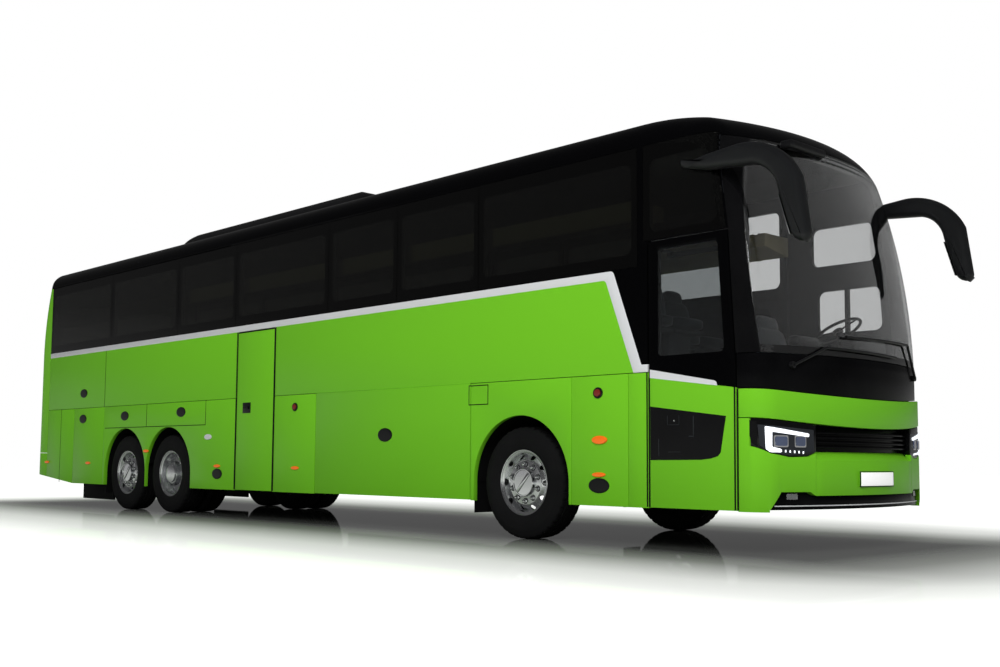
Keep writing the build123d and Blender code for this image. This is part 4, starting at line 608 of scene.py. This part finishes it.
def make_door_trim():
    form = bmesh.new()
    side_plate(form, INSERT, -0.010, 0.0025)
    finish_solid("door_gloss_insert", form, gloss_black, "front_door")
    form = bmesh.new()
    for x0, z0, x1, z1 in INSERT_STEPS:
        slab(form, (x0, -SIDE_Y - 0.006, z0), (x1, -SIDE_Y - 0.001, z1), 0.002)
    finish_piece("insert_ridges", form, dash_trim, "front_door")
    form = bmesh.new()
    button(form, DOOR_BUTTON, DOOR_BUTTON_SIZE, -1)
    finish_solid("door_button", form, chrome, "front_door")
    form = bmesh.new()
    side_plate(form, DOOR_STRIPE, -0.004, 0.002)
    finish_solid("door_stripe", form, stripe_film, "front_door")
    for k, (x_foot, x_head, top, body) in enumerate(DOOR_EDGES):
        form = bmesh.new()
        half = EDGE_W / 2
        outline = [(x_foot - half, EDGE_FOOT), (x_foot + half, EDGE_FOOT), (x_head + half, top), (x_head - half, top)]
        side_plate(form, outline, -0.004, 0.0018)
        finish_solid(f"door_edge_rubber_{k}", form, soft_rubber, body)
    form = bmesh.new()
    slab(form, (-0.832, -SIDE_Y - 0.004, 1.250), (-0.658, -SIDE_Y + 0.004, 1.377), 0.003)
    slab(form, (-0.800, -SIDE_Y - 0.022, 1.298), (-0.690, -SIDE_Y, 1.332), 0.006, 3)
    finish_piece("middle_door_handle", form, black_abs, "middle_door")


# Front end: forms drawn flat as distance along the nose from the middle, outwards, and up

def wrap_on_nose(form, inset=0.0):
    """Bends a form round the nose: x is the distance along it to the right, y outwards, z up."""
    straight = NOSE_R * CORNER_START
    corner_end = straight + CORNER_R * (math.pi / 2 - CORNER_START)
    for vert in form.verts:
        side = -1 if vert.co.x > 0 else 1
        along, out = abs(vert.co.x), vert.co.y - inset
        if along < straight:
            turn = along / NOSE_R
            x, y = NOSE_AXIS_X + (NOSE_R + out) * math.cos(turn), (NOSE_R + out) * math.sin(turn)
        elif along < corner_end:
            turn = CORNER_START + (along - straight) / CORNER_R
            x, y = CORNER_X + (CORNER_R + out) * math.cos(turn), CORNER_Y + (CORNER_R + out) * math.sin(turn)
        else:
            x, y = CORNER_X - (along - corner_end), SIDE_Y + out
        vert.co.x, vert.co.y = x, side * y


def cut_across(form, start, end, step=0.03):
    """Cuts a form across its length, so that it can bend."""
    count = int((end - start) / step)
    for k in range(1, count):
        geom = list(form.verts) + list(form.edges) + list(form.faces)
        bmesh.ops.bisect_plane(form, geom=geom, dist=0.0001, plane_co=(start + k * step, 0, 0), plane_no=(1, 0, 0))


def flat_plate(form, points, low, high, radius=0.0):
    """Adds a plate with an outline of (along, up), between two distances outwards."""
    before = set(form.verts)
    push_out(form, [(a, low, z) for a, z in points], high - low)
    if radius:
        fresh = [e for e in form.edges if e.verts[0] not in before and e.verts[1] not in before]
        across = [e for e in fresh if abs(e.verts[0].co.y - e.verts[1].co.y) > (high - low) / 2]
        bmesh.ops.bevel(form, geom=across, offset=radius, segments=3, profile=0.5, affect="EDGES", material=-1)


LAMP_PANEL = [(1.300, 0.990), (0.785, 0.955), (0.785, 0.792), (1.020, 0.762), (1.180, 0.775), (1.285, 0.832)]
LAMP_GUIDE = [(1.246, 0.977), (0.838, 0.925), (0.841, 0.900), (1.190, 0.936), (1.192, 0.822), (1.112, 0.806),
              (1.114, 0.781), (1.205, 0.782), (1.240, 0.806)]
LAMP_STRIP = [(1.395, 1.030), (1.306, 1.012), (1.300, 0.822), (1.345, 0.850)]
LENSES = [(1.055, 1.165), (0.880, 0.970)]
LAMP_SKIN = 0.006


def make_lamps():
    """The lamp units' insides, on the face of each CAD unit: panel, light guide, two lenses and small marks."""
    for side in (1, -1):
        word = "right" if side > 0 else "left"
        panel, strip, guide, lenses, marks, housings = (bmesh.new() for k in range(6))
        flat_plate(panel, LAMP_PANEL, 0.0, 0.002, 0.006)
        flat_plate(strip, LAMP_STRIP, 0.0, 0.004, 0.004)
        flat_plate(guide, LAMP_GUIDE, 0.001, 0.009, 0.008)
        for k, (a, b) in enumerate(LENSES):
            flat_plate(housings, [(a - 0.012, 0.820), (b + 0.012, 0.820), (b + 0.012, 0.910), (a - 0.012, 0.910)],
                       0.001, 0.006, 0.012)
            flat_plate(lenses, [(a, 0.830), (b, 0.830), (b, 0.901), (a, 0.901)], 0.005, 0.012, 0.016)
        for k in range(7):
            a = 1.150 - 0.043 * k
            z = 0.796 - 0.0022 * k
            flat_plate(marks, [(a, z - 0.010), (a + 0.010, z - 0.010), (a + 0.010, z + 0.008), (a, z + 0.008)],
                       0.001, 0.006)
        for name, form, material in (("panel", panel, lamp_bezel), ("strip", strip, gloss_black),
                                     ("guide", guide, light_guide),
                                     ("lenses", lenses, blue_lens), ("marks", marks, light_guide),
                                     ("housings", housings, chrome)):
            cut_across(form, 0.78, 1.40, 0.02)
            bmesh.ops.scale(form, vec=(side, 1, 1), verts=form.verts)
            wrap_on_nose(form, LAMP_SKIN)
            finish_solid(f"lamp_{name}_{word}", form, material)


def make_front_fittings():
    """Fog lamps, a pale strip on the lip that is a painted highlight of its upper edge, and the blank number plate with
    its holder.
    """
    form = bmesh.new()
    line = bmesh.new()
    for side in (1, -1):
        flat_plate(form, [(side * 0.940, 0.425), (side * 1.050, 0.425), (side * 1.050, 0.468), (side * 0.940, 0.468)],
                   -0.002, 0.006, 0.006)
    wrap_on_nose(form, 0.030)
    finish_solid("fog_lamps", form, clear_lens)
    # A pale strip along the top of the lip: a painted highlight of its rounded upper edge
    flat_plate(line, [(-1.165, 0.372), (1.165, 0.372), (1.165, 0.380), (-1.165, 0.380)], -0.002, 0.004)
    cut_across(line, -1.165, 1.165, 0.05)
    wrap_on_nose(line, 0.030)
    finish_solid("painted_lip_highlight", line, stripe_film)
    plate = bmesh.new()
    slab(plate, (6.680, -0.258, 0.524), (6.6845, 0.258, 0.630), 0.001)
    finish_piece("blank_number_plate", plate, glowing_white_plate)
    border = bmesh.new()
    slab(border, (6.676, -0.268, 0.515), (6.682, 0.268, 0.639), 0.001)
    finish_piece("number_plate_holder", border, black_abs)


# Seats: soft pads on shells

SEAT_FIRST_X = 5.200
SEAT_PITCH = 0.800
SEAT_ROWS = 14
STAIRS = (-0.6, -0.2)
ROUNDNESS = 7
DECK_Z = 1.460
PLATFORM_Z = 1.050


def pad(form, low, high, crown, turn, centre):
    """Adds a crowned pad: a cut-up block, rounded off like a cushion and swollen in the middle of its faces."""
    own = bmesh.new()
    size = Vector(high) - Vector(low)
    middle = (Vector(high) + Vector(low)) / 2
    bmesh.ops.create_cube(own, size=2.0)
    bmesh.ops.subdivide_edges(own, edges=list(own.edges), cuts=4, use_grid_fill=True)
    for vert in own.verts:
        share = vert.co.copy()
        shrink = sum(abs(s) ** ROUNDNESS for s in share) ** (-1 / ROUNDNESS)
        for k in range(3):
            swell = crown * share[k] * (1 - share[k - 1] ** 2) * (1 - share[k - 2] ** 2)
            vert.co[k] = middle[k] + share[k] * shrink * size[k] / 2 + swell
    bmesh.ops.rotate(own, cent=centre, matrix=Matrix.Rotation(turn, 3, "Y"), verts=own.verts)
    mesh = as_mesh(own)
    form.from_mesh(mesh)
    bpy.data.meshes.remove(mesh)


def make_seat_rows(name, places, width, shell_material):
    """Equal seats, whose cushions' front edges are ahead of their places; the backs lean to the rear."""
    half = width / 2
    pads, shell = bmesh.new(), bmesh.new()
    pad(pads, (-0.420, -half, 0.400), (0.055, half, 0.500), 0.018, 0.03, (0, 0, 0.4))
    pad(pads, (-0.445, -half, 0.470), (-0.350, half, 0.900), 0.020, -0.20, (-0.40, 0, 0.45))
    pad(pads, (-0.435, -half + 0.07, 0.890), (-0.365, half - 0.07, 1.020), 0.018, -0.20, (-0.40, 0, 0.45))
    bmesh.ops.recalc_face_normals(pads, faces=pads.faces)
    slab(shell, (-0.478, -half - 0.008, 0.420), (-0.450, half + 0.008, 1.000), 0.012)
    bmesh.ops.rotate(shell, cent=(-0.40, 0, 0.45), matrix=Matrix.Rotation(-0.20, 3, "Y"), verts=shell.verts)
    slab(shell, (-0.330, -half + 0.04, 0.0), (-0.080, half - 0.04, 0.385), 0.02)
    slab(shell, (-0.430, -half, 0.360), (0.040, half, 0.395), 0.012)
    soft = finish_piece(name + "_pads", place_copies(as_mesh(pads), places), seat_plush, "root", 60.0)
    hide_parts("seats")
    finish_piece(name + "_shells", place_copies(as_mesh(shell), places), shell_material)


def make_seats():
    places = []
    for row in range(SEAT_ROWS):
        x = SEAT_FIRST_X - row * SEAT_PITCH
        sides = [1] if row > 0 else []
        if not STAIRS[0] < x < STAIRS[1]:
            sides.append(-1)
        places += [(x, side * y, DECK_Z) for side in sides for y in (0.520, 0.950)]
    make_seat_rows("seat", places, 0.400, grey_abs)
    make_seat_rows("driver_seat", [(5.760, 0.600, PLATFORM_Z)], 0.470, black_abs)


# Strips that glow faintly behind the dark panes: painted light standing for the far side's windows seen through the
# coach. First and last x of each

PAINTED_WINDOW_LIGHTS = [(-2.31, -1.227), (-0.879, 0.707), (1.034, 1.940), (2.219, 3.189), (3.428, 5.148)]


def make_painted_window_lights():
    form = bmesh.new()
    for x0, x1 in PAINTED_WINDOW_LIGHTS:
        slab(form, (x0, -1.192, 2.735), (x1, -1.188, 2.905), 0.0015)
    finish_piece("painted_window_light_strips", form, painted_window_glow)


# Mirrors' glass, and small pieces on the roof

def make_mirror_glass():
    form = bmesh.new()
    lean = math.atan2(0.114, 0.378)
    for side in (-1, 1):
        place = Matrix.Translation((6.724, side * 1.3375, 2.530)) @ Matrix.Rotation(-lean, 4, "Y")
        place = place @ Matrix.Diagonal((0.006, 0.085, 0.330, 1.0))
        made = bmesh.ops.create_cube(form, size=1.0, matrix=place)["verts"]
        edges = list({e for v in made for e in v.link_edges})
        bmesh.ops.bevel(form, geom=edges, offset=0.002, segments=2, profile=0.5, affect="EDGES", material=-1)
    finish_piece("mirror_glass", form, chrome)


# Low bumps on the roof: along, and the height of the surface under them
ROOF_BUMPS = [(-4.812, 3.585), (-0.393, 3.762)]


def make_roof_pieces():
    form = bmesh.new()
    slab(form, (6.260, -0.700, 3.235), (6.380, -0.170, 3.300), 0.020, 3)
    finish_piece("camera_pod", form, black_abs)
    lights = bmesh.new()
    for x, z in ROOF_BUMPS:
        slab(lights, (x - 0.09, -0.62, z - 0.05), (x + 0.09, -0.50, z + 0.018), 0.018, 3)
    finish_piece("roof_bumps", lights, roof_grp)


# Instruments on the dash

def make_dash_fittings():
    form = bmesh.new()
    slab(form, (6.130, 0.360, 1.640), (6.330, 0.880, 1.790), 0.05, 4)
    slab(form, (6.150, -0.460, 1.650), (6.260, -0.120, 1.740), 0.03, 3)
    finish_piece("instrument_pod", form, black_abs)


# Studio

SOFT_LIGHT = 0.50
MIRRORED_HORIZON = 0.35
MIRRORED_CEILING = 0.08
MIRROR_SHARE = 0.35
SHADOW_HALF = (6.8, 1.2, 0.0)
FLOOR_LIFT = 0.62
LIGHTS = [
    # name, place, what it points at, width, watts
    ("front_key_light", (13.0, -13.0, 9.0), (2.0, 0.0, 1.5), 8.0, 1680.0),
    ("rear_fill_light", (-14.0, 8.0, 10.0), (-2.0, 0.0, 1.0), 9.0, 500.0),
]


def make_world():
    """A white surround that lights softly, with a dark ceiling for reflections, so that black paint stays black."""
    world = bpy.data.worlds.new("soft_studio")
    bpy.context.scene.world = world
    world.use_nodes = True
    tree = world.node_tree
    tree.nodes.clear()
    paths = add_node(tree, "ShaderNodeLightPath")
    way = add_node(tree, "ShaderNodeTexCoord").outputs["Generated"]
    height = add_node(tree, "ShaderNodeSeparateXYZ", {"Vector": way}).outputs["Z"]
    mirrored = add_node(tree, "ShaderNodeMapRange", {"Value": height, "From Min": 0.0, "From Max": 0.12,
                                                     "To Min": MIRRORED_HORIZON, "To Max": MIRRORED_CEILING})
    shine = add_node(tree, "ShaderNodeMix", {0: paths.outputs["Is Glossy Ray"], 2: SOFT_LIGHT,
                                             3: mirrored.outputs["Result"]})
    seen = add_node(tree, "ShaderNodeMath", {0: paths.outputs["Is Camera Ray"],
                                             1: paths.outputs["Is Transmission Ray"]}, operation="MAXIMUM")
    strength = add_node(tree, "ShaderNodeMix", {0: seen.outputs[0], 2: shine.outputs[0], 3: 1.0})
    sky = add_node(tree, "ShaderNodeBackground", {"Color": linear("#ffffff"), "Strength": strength.outputs[0]})
    add_node(tree, "ShaderNodeOutputWorld", {"Surface": sky.outputs[0]})


def make_floor():
    """A polished white floor that mirrors the coach close to it, keeps its shadow, and is darkened near it by a painted
    shadow.
    """
    form = bmesh.new()
    bmesh.ops.create_grid(form, x_segments=2, y_segments=2, size=60.0)
    mesh = bpy.data.meshes.new("studio_floor")
    form.to_mesh(mesh)
    form.free()
    floor = bpy.data.objects.new("studio_floor", mesh)
    bpy.context.scene.collection.objects.link(floor)
    material, tree, shader, place = start_material("polished_studio_floor", {"Base Color": linear("#e9ece6"),
                                                                             "Roughness": 0.8,
                                                                             "Specular IOR Level": 0.0})
    # Distance from the coach's outline on the ground
    size = add_node(tree, "ShaderNodeVectorMath", {0: place}, operation="ABSOLUTE")
    ways = add_node(tree, "ShaderNodeSeparateXYZ", {"Vector": size.outputs[0]})
    side = add_node(tree, "ShaderNodeMapRange", {"Value": ways.outputs["Y"], "From Min": 3.4, "From Max": 5.6,
                                                 "To Min": MIRROR_SHARE, "To Max": 0.0})
    front = add_node(tree, "ShaderNodeMapRange", {"Value": ways.outputs["X"], "From Min": 8.1, "From Max": 9.4,
                                                  "To Min": MIRROR_SHARE, "To Max": 0.0})
    share = add_node(tree, "ShaderNodeMath", {0: side.outputs[0], 1: front.outputs[0]}, operation="MINIMUM")
    past = add_node(tree, "ShaderNodeVectorMath", {0: size.outputs[0], 1: SHADOW_HALF}, operation="SUBTRACT")
    past = add_node(tree, "ShaderNodeVectorMath", {0: past.outputs[0], 1: (0.0, 0.0, 0.0)}, operation="MAXIMUM")
    distance = add_node(tree, "ShaderNodeVectorMath", {0: past.outputs[0]}, operation="LENGTH").outputs["Value"]
    # Towards the coach's outline the floor's colour darkens to a dark grey: a painted shadow under the coach, added to
    # the real one
    painted_shadow = add_node(tree, "ShaderNodeMapRange", {"Value": distance, "From Max": 1.8})
    colour = add_node(tree, "ShaderNodeMix", {0: painted_shadow.outputs[0], 6: linear("#4c4e4b"), 7: linear("#e9ece6")},
                      data_type="RGBA")
    tree.links.new(colour.outputs[2], shader.inputs["Base Color"])
    gloss = add_node(tree, "ShaderNodeBsdfAnisotropic", {"Color": linear("#ffffff"), "Roughness": 0.03})
    mixed = add_node(tree, "ShaderNodeMixShader", {0: share.outputs[0], 1: shader.outputs[0],
                                                   2: gloss.outputs[0]})
    # Away from the coach the floor fades into the white background
    paths = add_node(tree, "ShaderNodeLightPath")
    fade = add_node(tree, "ShaderNodeMapRange", {"Value": distance, "From Min": 0.7, "From Max": 3.4,
                                                 "To Max": FLOOR_LIFT})
    lift = add_node(tree, "ShaderNodeMath", {0: fade.outputs["Result"], 1: paths.outputs["Is Camera Ray"]},
                    operation="MULTIPLY")
    white = add_node(tree, "ShaderNodeEmission", {"Color": linear("#ffffff"), "Strength": lift.outputs[0]})
    whole = add_node(tree, "ShaderNodeAddShader", {0: mixed.outputs[0], 1: white.outputs[0]})
    end = next(node for node in tree.nodes if node.bl_idname == "ShaderNodeOutputMaterial")
    tree.links.new(whole.outputs[0], end.inputs["Surface"])
    mesh.materials.append(material)


def make_lights():
    """Two large lamps that light the coach without being mirrored in its paint."""
    for name, place, aim, size, power in LIGHTS:
        lamp = bpy.data.lights.new(name, "AREA")
        lamp.shape = "DISK"
        lamp.size = size
        lamp.energy = power
        holder = bpy.data.objects.new(name, lamp)
        way = Vector(aim) - Vector(place)
        holder.matrix_world = Matrix.Translation(place) @ way.to_track_quat("-Z", "Y").to_matrix().to_4x4()
        holder.visible_glossy = False
        bpy.context.scene.collection.objects.link(holder)


# Finishes of the CAD nodes: those that are copied and smoothed, then those that stay as they are

PANEL_BACK = 1.245
CLEAR_PANES_X = 3.30
# The screen's printed black edge: a point on it, and how it leans back with height
SCREEN_EDGE = (6.285, 0.0, 2.40)
SCREEN_EDGE_LEAN = -0.126


def inside(middle, normal):
    return abs(middle.y) < PANEL_BACK and middle.y * normal.y < 0


def cab_side(middle, normal):
    return middle.y > 0 and middle.x > CLEAR_PANES_X


def door_foot(middle, normal):
    (x0, z0), (x1, z1) = DOOR_BELT
    return middle.z < z0 + (middle.x - x0) * (z1 - z0) / (x1 - x0) and middle.y < -PANEL_BACK


def screen_edge(middle, normal):
    return middle.x < SCREEN_EDGE[0] + (middle.z - SCREEN_EDGE[2]) * SCREEN_EDGE_LEAN


LINED = [(lining, inside)]
SMOOTHED = [
    # node, material, bevel, zones of another material
    ("roof_panel", black_enamel, 0.0, []), ("roof_dome", black_enamel, 0.0, []),
    ("side_walls", black_enamel, 0.0, LINED),
    ("windscreen_frame", gloss_black, 0.0, []), ("side_windows", privacy_glass, 0.0, [(laminated_glass, cab_side)]),
    ("rear_window", privacy_glass, 0.0, []), ("front_door_glass", door_glass, 0.0, []),
    ("skirt_panels", green_enamel, 0.002, LINED),
    ("side_panels", green_enamel, 0.002, LINED), ("waist_trim", stripe_film, 0.001, LINED),
    ("front_band", green_enamel, 0.008, []), ("front_bumper", green_enamel, 0.008, []),
    ("front_trim", grille_black, 0.002, []), ("headlamps", gloss_black, 0.002, []),
    ("rear_wall", green_enamel, 0.002, []), ("rear_bumper", green_enamel, 0.002, []),
    ("engine_lid", green_enamel, 0.003, []), ("tail_lamps", red_lens, 0.003, []), ("ac_unit", roof_grp, 0.020, []),
    ("roof_hatches", roof_grp, 0.012, []), ("wipers", black_abs, 0.0, []),
    ("middle_door", green_enamel, 0.002, LINED),
    ("luggage_flap_right", green_enamel, 0.002, LINED),
    ("luggage_flap_left", green_enamel, 0.002, LINED), ("dashboard", dash_trim, 0.02, []),
    ("steering_wheel", black_abs, 0.0, []), ("air_springs", soft_rubber, 0.003, []),
    ("front_axle", cast_iron, 0.004, []), ("rear_axles", cast_iron, 0.004, []), ("knuckle_right", cast_iron, 0.003, []),
    ("knuckle_left", cast_iron, 0.003, []), ("wheel_housings", chassis_paint, 0.0, []),
    ("luggage_racks", rack_cloth, 0.012, []),
]
AS_MADE = {
    "pillars": lining, "floor_deck": vinyl_floor, "entrance_floors": vinyl_floor, "luggage_hold": chassis_paint,
    "underframe": chassis_paint, "front_frame": chassis_paint, "mudflaps": soft_rubber, "engine": cast_iron,
    "front_door_arm": chassis_paint, "middle_door_arm": chassis_paint,
}


def dress_nodes():
    for node, material, bevel, zones in SMOOTHED:
        dressed(node, material, bevel, zones)
    dressed("mirrors", mirror_shell, 0.052, steps=6, angle=25.0, clamp=False)
    (x0, z0), (x1, z1) = DOOR_BELT
    dressed("front_door", black_enamel, 0.002, [(lining, inside), (green_enamel, door_foot)],
            ((x0, 0.0, z0), (z0 - z1, 0.0, x1 - x0)))
    dressed("windscreen", laminated_glass, 0.0, [(gloss_black, screen_edge)],
            (SCREEN_EDGE, (1.0, 0.0, -SCREEN_EDGE_LEAN)))
    for node, material in AS_MADE.items():
        source = frame["nodes"][node]
        source.data.materials.clear()
        source.data.materials.append(material)


def main():
    make_camera()
    make_world()
    make_floor()
    make_lights()
    dress_nodes()
    make_wheels()
    make_side_fittings()
    make_panel_lines()
    make_door_trim()
    make_lamps()
    make_front_fittings()
    make_seats()
    make_dash_fittings()
    make_painted_window_lights()
    make_mirror_glass()
    make_roof_pieces()
    bpy.context.scene.view_settings.view_transform = "Standard"


main()
